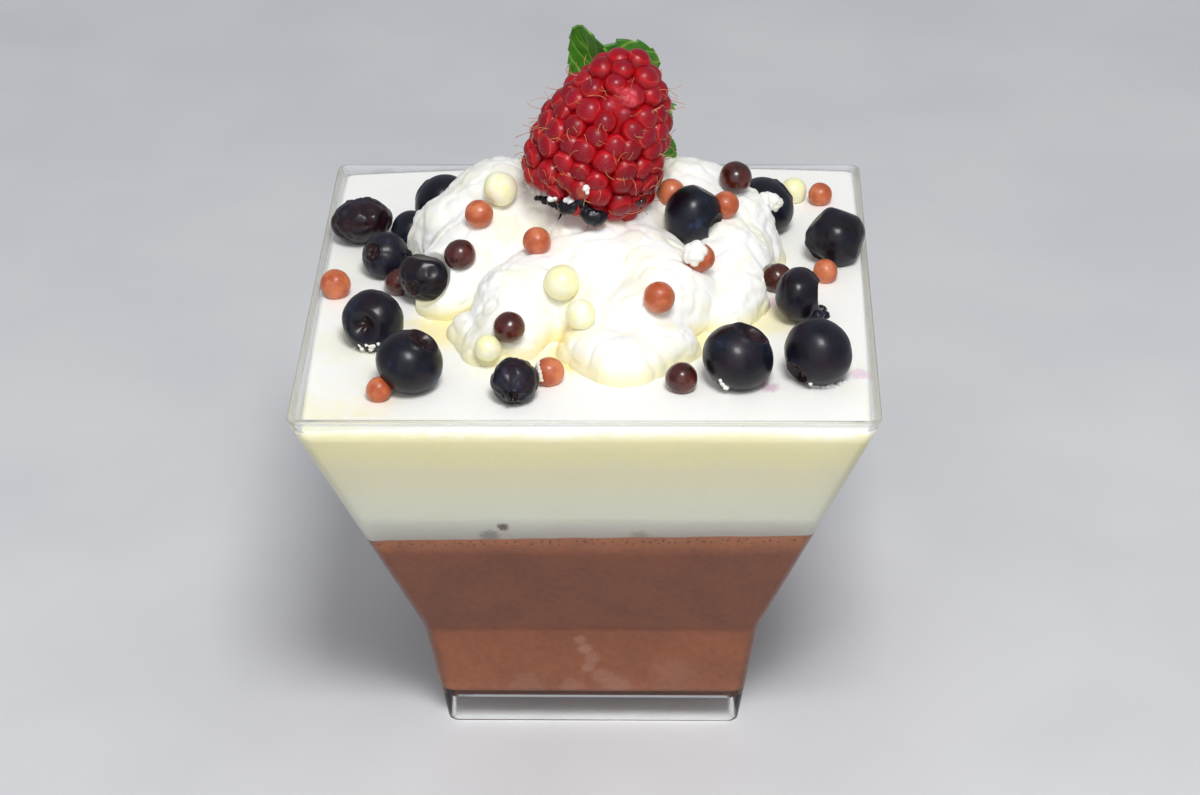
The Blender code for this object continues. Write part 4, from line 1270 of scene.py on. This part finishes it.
def drupelet_spots():
    """Centre, outward direction and width of each drupelet, in rows from open end to tip."""
    draw = random.Random(DRUPELET_SEED)
    inset = DRUPELET_INSET
    middle = RASPBERRY_LENGTH * DRUPELET_CENTRE
    spots = []
    walked, row = 0.0, 0
    before = None
    for step in range(OUTLINE_SAMPLES + 1):
        along = DRUPELET_FIRST_ROW + (1 - DRUPELET_FIRST_ROW) * step / OUTLINE_SAMPLES
        radius = max(0.0, raspberry_radius(along) - inset)
        here = Vector((radius, (RASPBERRY_LENGTH - inset) * along))
        if before is not None:
            walked += (here - before).length
        before = here
        if walked < row * DRUPELET_WIDTH * DRUPELET_ROW_PITCH:
            continue
        count = max(1, round(2 * math.pi * radius / (DRUPELET_WIDTH * DRUPELET_SPACING)))
        for index in range(count):
            shift = 0.5 * (row % 2) + draw.uniform(-DRUPELET_SHIFT, DRUPELET_SHIFT)
            turn = 2 * math.pi * (index + shift) / count
            height = here.y + draw.uniform(-DRUPELET_LIFT, DRUPELET_LIFT)
            spot = Vector((radius * math.cos(turn), radius * math.sin(turn), height))
            outward = Vector((spot.x, spot.y, (spot.z - middle) * DRUPELET_SPREAD)).normalized()
            spots.append((spot, outward, DRUPELET_WIDTH * draw.uniform(*DRUPELET_WIDTHS)))
        row += 1
    return spots


def placed_spots(spots, matrix):
    """The same spots where the fruit lies, sunk where it is bare."""
    turn = matrix.to_3x3()
    placed = []
    for spot, outward, width in spots:
        here, way = matrix @ spot, (turn @ outward).normalized()
        if (here + way * width / 2 - BARE_PLACE).length < BARE_REACH:
            here -= way * BARE_DEPTH
        placed.append((here, way, width))
    return placed


# %% Finish of the raspberry
# Marks on the fruit: centre in millimetres, radius, strength, colour
RASPBERRY_SPOTS = (
    ((-4.6, -4.2, 78.9), 1.4, 0.6, tint(160, 96, 64)),
    ((-1.0, -4.6, 78.2), 1.3, 0.8, tint(196, 122, 84)),
    ((1.4, -0.5, 94.0), 0.9, 0.8, tint(204, 130, 92)),
)


def raspberry_flesh():
    """Juicy crimson with painted light: bright red gaps for light through the flesh, duller purple
    tops for sheen; some pale lines.
    """
    constants = {"Subsurface Weight": 0.3, "Subsurface Scale": 1.0 * MM, "Coat Weight": 0.1}
    constants["Subsurface Radius"] = (1.0, 0.2, 0.18)
    constants["Coat Roughness"] = 0.16
    constants["Specular IOR Level"] = 0.28
    material, tree, shader, place = finish("raspberry_skin", constants)
    own = add(tree, "ShaderNodeAttribute", attribute_name="own").outputs["Vector"]
    outwards = add(tree, "ShaderNodeSeparateXYZ", {"Vector": own}).outputs["Z"]
    # Painted light by how far out a point lies on its drupelet: a bright red glow in the gaps, a
    # dull purple sheen on the tops
    depth = ramp(tree, outwards, [
        (0.10, tint(146, 0, 5)),
        (0.27, tint(194, 1, 10)),
        (0.37, tint(158, 4, 17)),
        (0.48, tint(138, 15, 36)),
    ])
    tones = [(0.0, tint(110, 2, 20)), (0.5, tint(146, 8, 28)), (1.0, tint(172, 20, 38))]
    flesh = blend(tree, 0.4, depth, ramp(tree, mark(tree, "tone"), tones))
    uneven = calculate(tree, "MULTIPLY", speckle(tree, place, 1.1 * MM, 2.0), 0.15)
    ringed = calculate(tree, "ADD", outwards, uneven)
    line = ramp(tree, ringed, [(0.352, grey(0.0)), (0.377, grey(1.0)), (0.402, grey(0.0))])
    where = ramp(tree, speckle(tree, place, 4 * MM, 2.0), [(0.42, grey(0.0)), (0.64, grey(0.6))])
    flesh = blend(tree, calculate(tree, "MULTIPLY", line, where), flesh, tint(216, 98, 92))
    flesh = spotted(tree, place, flesh, RASPBERRY_SPOTS)
    bare = near(tree, place, BARE_PLACE / MM, BARE_WIDTH, 0.6, 0.6)
    pinks = [(0.35, tint(190, 44, 58)), (0.65, tint(216, 86, 96))]
    dry = ramp(tree, speckle(tree, place, 0.6 * MM, 3.0), pinks)
    flesh = blend(tree, bare, flesh, dry)
    tree.links.new(flesh, shader.inputs["Base Color"])
    damp = speckle(tree, place, 0.9 * MM, 3.0)
    gloss = ramp(tree, damp, [(0.3, grey(0.26)), (0.75, grey(0.46))])
    tree.links.new(blend(tree, bare, gloss, grey(0.7)), shader.inputs["Roughness"])
    emboss(tree, shader, speckle(tree, place, 0.5 * MM, 3.0), 0.04 * MM, 0.6)
    return material


def raspberry_depth():
    """The dark wet flesh between the drupelets."""
    material, tree, shader, place = finish("raspberry_inside", {"Specular IOR Level": 0.15})
    damp = speckle(tree, place, 1.2 * MM, 3.0)
    colour = ramp(tree, damp, [(0.3, tint(124, 0, 6)), (0.7, tint(168, 4, 12))])
    tree.links.new(colour, shader.inputs["Base Color"])
    roughen(tree, shader, damp, (0.3, 0.35), (0.7, 0.55))
    return material


# %% Raspberry: drupelets and core
CORE_INSET = 1.4 * MM
CORE_START = 0.06
CORE_SHARE = 0.93
CORE_STEPS = 40
CORE_SEGMENTS = 48
CORE_TIP = 0.2 * MM
DRUPELET_DETAIL = 3
DRUPELET_UNEVENNESS = 0.25 * MM
DRUPELET_LUMPS = 1.6 * MM
DRUPELET_TONES = 11


def raspberry_core(material):
    """The dark flesh between the drupelets, as a turned form closed at both ends."""
    place = raspberry_matrix()
    rings = []
    for step in range(1, CORE_STEPS):
        along = CORE_START + CORE_SHARE * step / CORE_STEPS
        half = max(CORE_TIP, raspberry_radius(along) - CORE_INSET)
        height = (RASPBERRY_LENGTH - CORE_INSET) * along
        ring = []
        for segment in range(CORE_SEGMENTS):
            turn = 2 * math.pi * segment / CORE_SEGMENTS
            ring.append(place @ Vector((half * math.cos(turn), half * math.sin(turn), height)))
        rings.append(ring)
    return loft("raspberry_core", rings, material)


flesh = raspberry_flesh()
fruit_spots = placed_spots(drupelet_spots(), raspberry_matrix())
form = (DRUPELET_DETAIL, DRUPELET_UNEVENNESS, DRUPELET_LUMPS, DRUPELET_TONES)
drupelets = beads("raspberry_drupelets", fruit_spots, flesh, *form)
register(drupelets, "raspberry_skin", "raspberry")
core = raspberry_core(raspberry_depth())
register(core, "raspberry_skin")
print("drupelets:", len(fruit_spots))


# %% Hairs of the raspberry
HAIR_SEED = 8
HAIR_THICKNESS = 0.045 * MM
HAIR_BEND = 0.8
HAIR_STEPS = 6
HAIR_SIDES = 4
HAIR_TURNS = 3
# How much a hair stands off the fruit, and how far its root strays, against its sway
HAIR_RISE = 0.3
HAIR_STRAY = 0.3
# How far out of a drupelet's middle a hair starts, as a share of its width
HAIR_ROOT = 0.47
HAIR_LENGTHS = (1.1 * MM, 2.4 * MM)
HAIRS_EACH = 2
HAIR_SHARE = 0.95
HAIR_SWAY = 1.4
HAIR_CEILING = 93.0 * MM


def hair_tree():
    """A thin bent hair on each point, as long as its width says."""
    tree = bpy.data.node_groups.new("hairs", "GeometryNodeTree")
    kinds = [("Points", "Geometry"), ("Thickness", "Float"), ("Bend", "Float")]
    given = sockets(tree, [*kinds, ("Seed", "Int"), ("Finish", "Material")])
    middle = add(tree, "ShaderNodeCombineXYZ", {"Y": 0.0, "Z": 0.55}).outputs[0]
    end = add(tree, "ShaderNodeCombineXYZ", {"X": given["Bend"], "Z": 0.85}).outputs[0]
    inputs = {"Resolution": HAIR_STEPS, "Start": (0.0, 0.0, 0.0), "Middle": middle, "End": end}
    hair = add(tree, "GeometryNodeCurveQuadraticBezier", inputs).outputs[0]
    aligned = facing(tree)
    spin = add(tree, "FunctionNodeRandomValue", {"Seed": given["Seed"]}, data_type="FLOAT")
    spin.inputs[3].default_value = 2 * math.pi
    inputs = {"Axis": (0.0, 0.0, 1.0), "Angle": spin.outputs[1]}
    about = add(tree, "FunctionNodeAxisAngleToRotation", inputs)
    inputs = {"Rotation": aligned, "Rotate By": about.outputs[0]}
    turn = add(tree, "FunctionNodeRotateRotation", inputs, rotation_space="LOCAL").outputs[0]
    inputs = {"Points": given["Points"], "Instance": hair, "Rotation": turn}
    inputs["Scale"] = attribute(tree, "width", "FLOAT")
    placed = add(tree, "GeometryNodeInstanceOnPoints", inputs).outputs[0]
    lines = add(tree, "GeometryNodeRealizeInstances", {"Geometry": placed}).outputs[0]
    inputs = {"Resolution": HAIR_SIDES, "Radius": given["Thickness"]}
    outline = add(tree, "GeometryNodeCurvePrimitiveCircle", inputs).outputs[0]
    inputs = {"Curve": lines, "Profile Curve": outline, "Fill Caps": True}
    end_tree(tree, add(tree, "GeometryNodeCurveToMesh", inputs).outputs[0], given)
    return tree


def hair_finish():
    """Dry golden hairs in patchy shades."""
    constants = {"Roughness": 0.5, "Subsurface Weight": 0.2}
    material, tree, shader, place = finish("raspberry_hair", constants)
    shades = speckle(tree, place, 1.5 * MM, 2.0)
    colour = ramp(tree, shades, [(0.35, tint(176, 92, 44)), (0.65, tint(224, 158, 92))])
    tree.links.new(colour, shader.inputs["Base Color"])
    roughen(tree, shader, shades, (0.3, 0.4), (0.7, 0.65))
    return material


def hair_spots():
    """Hairs from most drupelets, where they stand proudest, but none near the fruit's top."""
    draw = random.Random(HAIR_SEED)
    spots = []
    for spot, outward, width in fruit_spots * HAIRS_EACH:
        if draw.random() < HAIR_SHARE:
            sway = Vector([draw.uniform(-HAIR_SWAY, HAIR_SWAY) for _ in range(3)])
            way = (HAIR_RISE * outward + sway).normalized()
            start = spot + (outward + HAIR_STRAY * sway).normalized() * width * HAIR_ROOT
            length = draw.uniform(*HAIR_LENGTHS)
            if start.z < HAIR_CEILING:
                spots.append((start, way, length))
    return spots


hairs = points_piece("raspberry_hairs", hair_spots())
grow(hairs, hair_tree(), {
    "Thickness": HAIR_THICKNESS,
    "Bend": HAIR_BEND,
    "Seed": HAIR_TURNS,
    "Finish": hair_finish(),
})
register(hairs, "raspberry_skin")

# %% [markdown]
# ## Mint leaves
# Three leaves stand behind the raspberry. Each is a thin sheet along a bent spine: the half width
# follows a sine's arch, the edge is toothed, the blade folds along its midrib, and side veins run
# up to the edge. A grid of points gives all of this, and two attributes, along and across, carry
# the leaf's own coordinates to the shader, which paints the veins where the mesh raises them.

# %% Leaves: form
LEAVES = {
    "leaf_left": ((5.0, 18.0, 71.0), (1.4, 17.5, 86.0), (-2.0, 15.5, 94.6), 9.0, 0.30, 262),
    "leaf_back": ((4.6, 20.0, 70.5), (1.8, 18.5, 88.0), (9.2, 22.0, 84.8), 15.5, 0.12, 272),
    "leaf_right": ((8.8, 16.6, 69.5), (11.0, 16.6, 73.5), (10.4, 16.2, 77.4), 3.8, 0.10, 285),
}
LEAF_THICKNESS = 0.32 * MM
LEAF_LENGTHWISE = 90
LEAF_ACROSS = 28
LEAF_TEETH = 11
LEAF_TOOTH = 0.11
LEAF_WAVE = 0.03
LEAF_WAVES = 3
# The arch of a leaf's half width: where it starts, how much of it shows, its skew and fullness
LEAF_START = 0.04
LEAF_SHOWN = 0.93
LEAF_SKEW = 0.8
LEAF_FULLNESS = 0.7
LEAF_VEINS = 7
VEIN_SLANT = 0.30
VEIN_WIDTH = 0.14
VEIN_FADE = 0.5
MIDRIB_WIDTH = 0.06
VEIN_RELIEF = 0.16 * MM


def vein_line(along, across):
    """1 on a side vein or on the midrib, 0 between them."""
    phase = (along - VEIN_SLANT * abs(across)) * LEAF_VEINS
    side = max(0.0, 1 - abs((phase % 1.0) - 0.5) / VEIN_WIDTH) * (1 - VEIN_FADE * abs(across))
    return max(side, max(0.0, 1 - abs(across) / MIDRIB_WIDTH))


def leaf_piece(name, spec, material):
    """One toothed leaf with its veins raised."""
    foot, bend, tip = (Vector(point) * MM for point in spec[:3])
    width, fold, heading = spec[3] * MM, spec[4], math.radians(spec[5])
    look = Vector((math.cos(heading), math.sin(heading), 0.0))
    length = (tip - foot).length
    surface = bmesh.new()
    marks = [surface.verts.layers.float.new(layer) for layer in ("along", "across")]
    rows = []
    for step in range(LEAF_LENGTHWISE + 1):
        along = step / LEAF_LENGTHWISE
        spine = foot * (1 - along) ** 2 + bend * 2 * along * (1 - along) + tip * along ** 2
        run = (bend - foot) * (1 - along) + (tip - bend) * along
        side = run.cross(look).normalized()
        face = side.cross(run).normalized()
        arch = math.sin(math.pi * (LEAF_START + LEAF_SHOWN * along) ** LEAF_SKEW)
        half = width / 2 * arch ** LEAF_FULLNESS
        tooth = LEAF_TOOTH * ((along * LEAF_TEETH) % 1.0 - 0.5)
        row = []
        for column in range(LEAF_ACROSS + 1):
            across = 2 * column / LEAF_ACROSS - 1
            reach = half * (1 - tooth * abs(across) ** 3)
            wave = LEAF_WAVE * length * math.sin(LEAF_WAVES * math.pi * along) * across
            puff = VEIN_RELIEF * vein_line(along, across)
            lift = abs(across) * half * fold + wave - puff
            vertex = surface.verts.new(spine + side * across * reach + face * lift)
            vertex[marks[0]], vertex[marks[1]] = along, across
            row.append(vertex)
        rows.append(row)
    for low, high in zip(rows, rows[1:]):
        for column in range(LEAF_ACROSS):
            surface.faces.new((low[column], low[column + 1], high[column + 1], high[column]))
    mesh = bpy.data.meshes.new(name)
    surface.to_mesh(mesh)
    surface.free()
    blade = new_piece(name, mesh, material)
    solidify = blade.modifiers.new("Thickness", "SOLIDIFY")
    solidify.thickness = LEAF_THICKNESS
    solidify.offset = 0.0
    settle(blade)
    return blade


# %% Leaves: finish
def leaf_green():
    """Fresh green with paler veins and a satin skin that lets a little light through."""
    constants = {"Subsurface Weight": 0.25, "Subsurface Scale": 0.8 * MM}
    constants["Subsurface Radius"] = (0.5, 1.0, 0.2)
    material, tree, shader, place = finish("leaf_green", constants)
    clouds = speckle(tree, place, 2.5 * MM, 4.0, 0.6)
    greens = [(0.3, tint(44, 96, 16)), (0.55, tint(66, 128, 24)), (0.8, tint(96, 158, 40))]
    blade = ramp(tree, clouds, greens)
    across = calculate(tree, "ABSOLUTE", mark(tree, "across"))
    swept = calculate(tree, "MULTIPLY", across, VEIN_SLANT)
    slant = calculate(tree, "SUBTRACT", mark(tree, "along"), swept)
    phase = calculate(tree, "FRACT", calculate(tree, "MULTIPLY", slant, LEAF_VEINS))
    off_vein = calculate(tree, "ABSOLUTE", calculate(tree, "SUBTRACT", phase, 0.5))
    veins = ramp(tree, off_vein, [(0.03, grey(0.65)), (0.14, grey(0.0))])
    midrib = ramp(tree, across, [(0.03, grey(0.8)), (0.09, grey(0.0))])
    pale = tint(138, 178, 74)
    green = blend(tree, midrib, blend(tree, veins, blade, pale), pale)
    tree.links.new(green, shader.inputs["Base Color"])
    roughen(tree, shader, clouds, (0.3, 0.36), (0.7, 0.52))
    emboss(tree, shader, speckle(tree, place, 0.35 * MM, 3.0), 0.05 * MM, 0.6)
    return material


green = leaf_green()
for name, spec in LEAVES.items():
    register(leaf_piece(f"{name}_blade", spec, green), "leaf_green", name)

# %% [markdown]
# ## Crumbs and smears
# Small dabs of cream stick to berries and pearls, crumbs of mousse lie at the berries' feet, and
# torn bits of a squashed berry show under the raspberry. They are too small to be parts of their
# own, so they are beads again. Each is given by a place on the plane through the cup's middle, and
# a ray from the camera through that place finds the surface which the bead sticks to.

# %% Places of the crumbs
# x and z in millimetres on the plane through the cup's middle, and the width
CRUMBS = {
    "cream": (
        # On the berry at the back right
        (24.5, 75.0, 1.2), (25.1, 74.8, 1.6), (25.8, 74.5, 1.7), (26.4, 74.2, 1.3),
        (25.5, 73.7, 1.2), (26.1, 73.4, 0.9), (24.8, 74.3, 1.0),
        # On the half covered pearl
        (14.2, 66.7, 1.5), (15.1, 67.0, 1.7), (15.7, 66.5, 1.4), (14.8, 65.7, 1.7),
        (14.1, 65.6, 1.4), (15.5, 65.6, 1.1), (14.8, 64.8, 1),
        # On the pearl in front
        (-7.9, 48.1, 0.5), (-7.8, 47.5, 0.55), (-7.7, 46.8, 0.6), (-7.5, 46.1, 0.55),
        (-7.4, 45.5, 0.5),
        # Under the raspberry
        (-8.6, 76.8, 0.6), (-8.3, 76.3, 0.7), (-7.9, 76.0, 0.6), (-7.1, 75.6, 0.7),
        (-6.2, 75.3, 0.7), (-5.5, 74.9, 0.8), (-5.0, 74.9, 0.6), (-3.9, 74.6, 0.6),
        (-3.3, 74.5, 0.8), (-2.7, 74.2, 1.0), (-2.2, 74.5, 0.7), (-3.0, 74.9, 0.5),
        (-0.6, 76.5, 0.8), (-0.4, 75.9, 0.5),
    ),
    "mousse": (
        # At the feet of three berries in front
        (-34.3, 50.7, 0.6), (-33.8, 51.2, 0.4), (-33.4, 50.7, 0.55), (-32.8, 51.2, 0.4),
        (-32.2, 51.0, 0.5), (-31.7, 51.2, 0.5), (-32.1, 50.6, 0.6), (-31.1, 51.4, 0.4),
        (-33.2, 50.2, 0.55), (31.6, 45.0, 0.5), (32.0, 44.5, 0.5), (32.7, 44.5, 0.6),
        (33.5, 44.4, 0.5), (34.2, 44.4, 0.6), (34.8, 44.5, 0.6), (35.3, 44.5, 0.5),
        (35.9, 44.9, 0.6), (36.5, 45.2, 0.5), (18.6, 45.5, 0.5), (18.9, 45.0, 0.6),
        (19.4, 44.5, 0.7), (19.5, 44.2, 0.5),
    ),
    "berry": (
        (-7.5, 74.9, 0.7), (-7.0, 74.8, 0.8), (-6.3, 74.5, 1.0), (-5.6, 74.3, 1.1),
        (-4.8, 74.1, 1.2), (-4.1, 73.8, 1.5), (-3.6, 73.5, 1.6), (-3.0, 73.4, 1.4),
        (-2.5, 73.7, 1.2), (-2.0, 74.2, 0.9), (-3.9, 73.0, 0.8), (-1.3, 74.5, 0.8),
        (-1.0, 73.8, 1.2), (-0.8, 73.0, 1.4), (-0.3, 72.4, 1.7), (0.2, 72.1, 1.9),
        (0.9, 71.9, 1.9), (1.6, 72.1, 1.3), (0.5, 71.3, 1.1), (0.8, 70.7, 0.6),
        (-0.5, 71.6, 0.8), (-0.1, 72.9, 1.0),
        # Between two berries on the right, and beside one on the left
        (32.9, 56.9, 1.3), (33.3, 55.9, 1.4), (32.5, 56.1, 1.3), (-26.8, 66.2, 0.7),
        (-26.3, 66.2, 0.9), (-25.7, 66.0, 0.6),
    ),
    "syrup": ((6.6, 74.2, 0.7), (7.0, 74.3, 0.9), (7.5, 74.5, 0.7), (8.5, 75.9, 0.5)),
}
# How far a crumb's middle lies behind the surface that it sticks to, as a share of its width
CRUMB_SINK = 0.16
CRUMB_GROWTH = 1.35
CRUMB_UNEVENNESS = 0.55 * MM
CRUMB_LUMPS = 0.5 * MM
CRUMB_VOXEL = 0.07 * MM
CRUMB_SMOOTHING = 3
CRUMB_DETAIL = 3


# %% Crumbs
def line_of_sight(pieces):
    """A function that finds the first surface that the camera sees through a place."""
    graph = bpy.context.evaluated_depsgraph_get()
    trees = [BVHTree.FromObject(piece, graph) for piece in pieces]
    eye = camera.matrix_world.translation

    def look(place):
        way = (place - eye).normalized()
        hits = [tree.ray_cast(eye, way) for tree in trees]
        hits = [hit for hit in hits if hit[0] is not None]
        point, normal, _, _ = min(hits, key=lambda hit: hit[3])
        return point, normal, way

    return look


def crumb_spots(places, look):
    """Centre, direction and width of crumbs that stick to what the camera sees."""
    spots = []
    for x, z, width in places:
        point, normal, way = look(Vector((x, 0.0, z)) * MM)
        wide = width * CRUMB_GROWTH * MM
        spots.append((point + way * wide * CRUMB_SINK, normal, wide))
    return spots


bpy.context.view_layer.update()
holders = [bpy.data.objects[name] for name in ("vanilla_layer", "cream", "raspberry_drupelets")]
holders += [thing for thing in bpy.data.objects if thing.name.endswith("_fruit")]
holders += [thing for thing in bpy.data.objects if thing.name.startswith("pearls_")]
seen = line_of_sight(holders)
CRUMB_LOOKS = {
    "cream": (cream.data.materials[0], "whipped_cream"),
    "berry": (berry_skin, "blueberry_skin"),
    "mousse": (vanilla_layer.data.materials[0], "vanilla_mousse"),
    "syrup": (COATS["dark"], "dark_pearl"),
}
for kind, (material, slot) in CRUMB_LOOKS.items():
    spots = crumb_spots(CRUMBS[kind], seen)
    form = (CRUMB_DETAIL, CRUMB_UNEVENNESS, CRUMB_LUMPS)
    crumbs = beads(f"crumbs_{kind}", spots, material, *form)
    melt(crumbs, CRUMB_VOXEL, CRUMB_SMOOTHING)
    dress(crumbs, material)
    register(crumbs, slot)

# %% [markdown]
# ## Studio
# The cup stands on a plain pale floor. A small lamp above and in front draws the sharp glints on
# berries and pearls and gives the cream its form, a broad weak one in front opens the shadows, and
# a pale sky fills what is left. The Standard view keeps whites white, where a filmic view would
# grey the cream.

# %% Studio
FLOOR_REACH = 3.0
SKY_COLOUR = (0.9, 0.93, 1.0, 1.0)
SKY_STRENGTH = 0.40
# Each lamp: name, place, target, size, power
LAMPS = (
    ("key", (0.08, -0.37, 0.66), (0.0, 0.0, 0.06), 0.20, 3.5),
    ("fill", (-0.10, -1.25, 0.40), (0.0, 0.0, 0.05), 1.60, 5.0),
)


def floor_piece():
    """A wide pale floor with the faintest grain."""
    material, tree, shader, place = finish("floor", {"Specular IOR Level": 0.3})
    grain = speckle(tree, place, 40 * MM, 3.0)
    pale = ramp(tree, grain, [(0.3, tint(214, 214, 216)), (0.7, tint(220, 220, 221))])
    tree.links.new(pale, shader.inputs["Base Color"])
    roughen(tree, shader, grain, (0.3, 0.5), (0.7, 0.6))
    mesh = bpy.data.meshes.new("floor")
    signs = ((-1, -1), (1, -1), (1, 1), (-1, 1))
    corners = [(FLOOR_REACH * x, FLOOR_REACH * y, 0.0) for x, y in signs]
    mesh.from_pydata(corners, [], [(0, 1, 2, 3)])
    floor = new_piece("floor", mesh, material, smooth=False)


def lamp(name, place, target, size, power):
    """A square soft lamp that looks at a target."""
    data = bpy.data.lights.new(name, "AREA")
    data.size = size
    data.energy = power
    thing = bpy.data.objects.new(name, data)
    bpy.context.scene.collection.objects.link(thing)
    thing.location = place
    thing.rotation_euler = (Vector(target) - Vector(place)).to_track_quat("-Z", "Y").to_euler()


floor_piece()
for spec in LAMPS:
    lamp(*spec)
world = bpy.data.worlds.new("studio")
world.use_nodes = True
sky = world.node_tree.nodes["Background"]
sky.inputs["Color"].default_value = SKY_COLOUR
sky.inputs["Strength"].default_value = SKY_STRENGTH
bpy.context.scene.world = world
print("lamps:", len(LAMPS))
bpy.context.scene.view_settings.view_transform = "Standard"
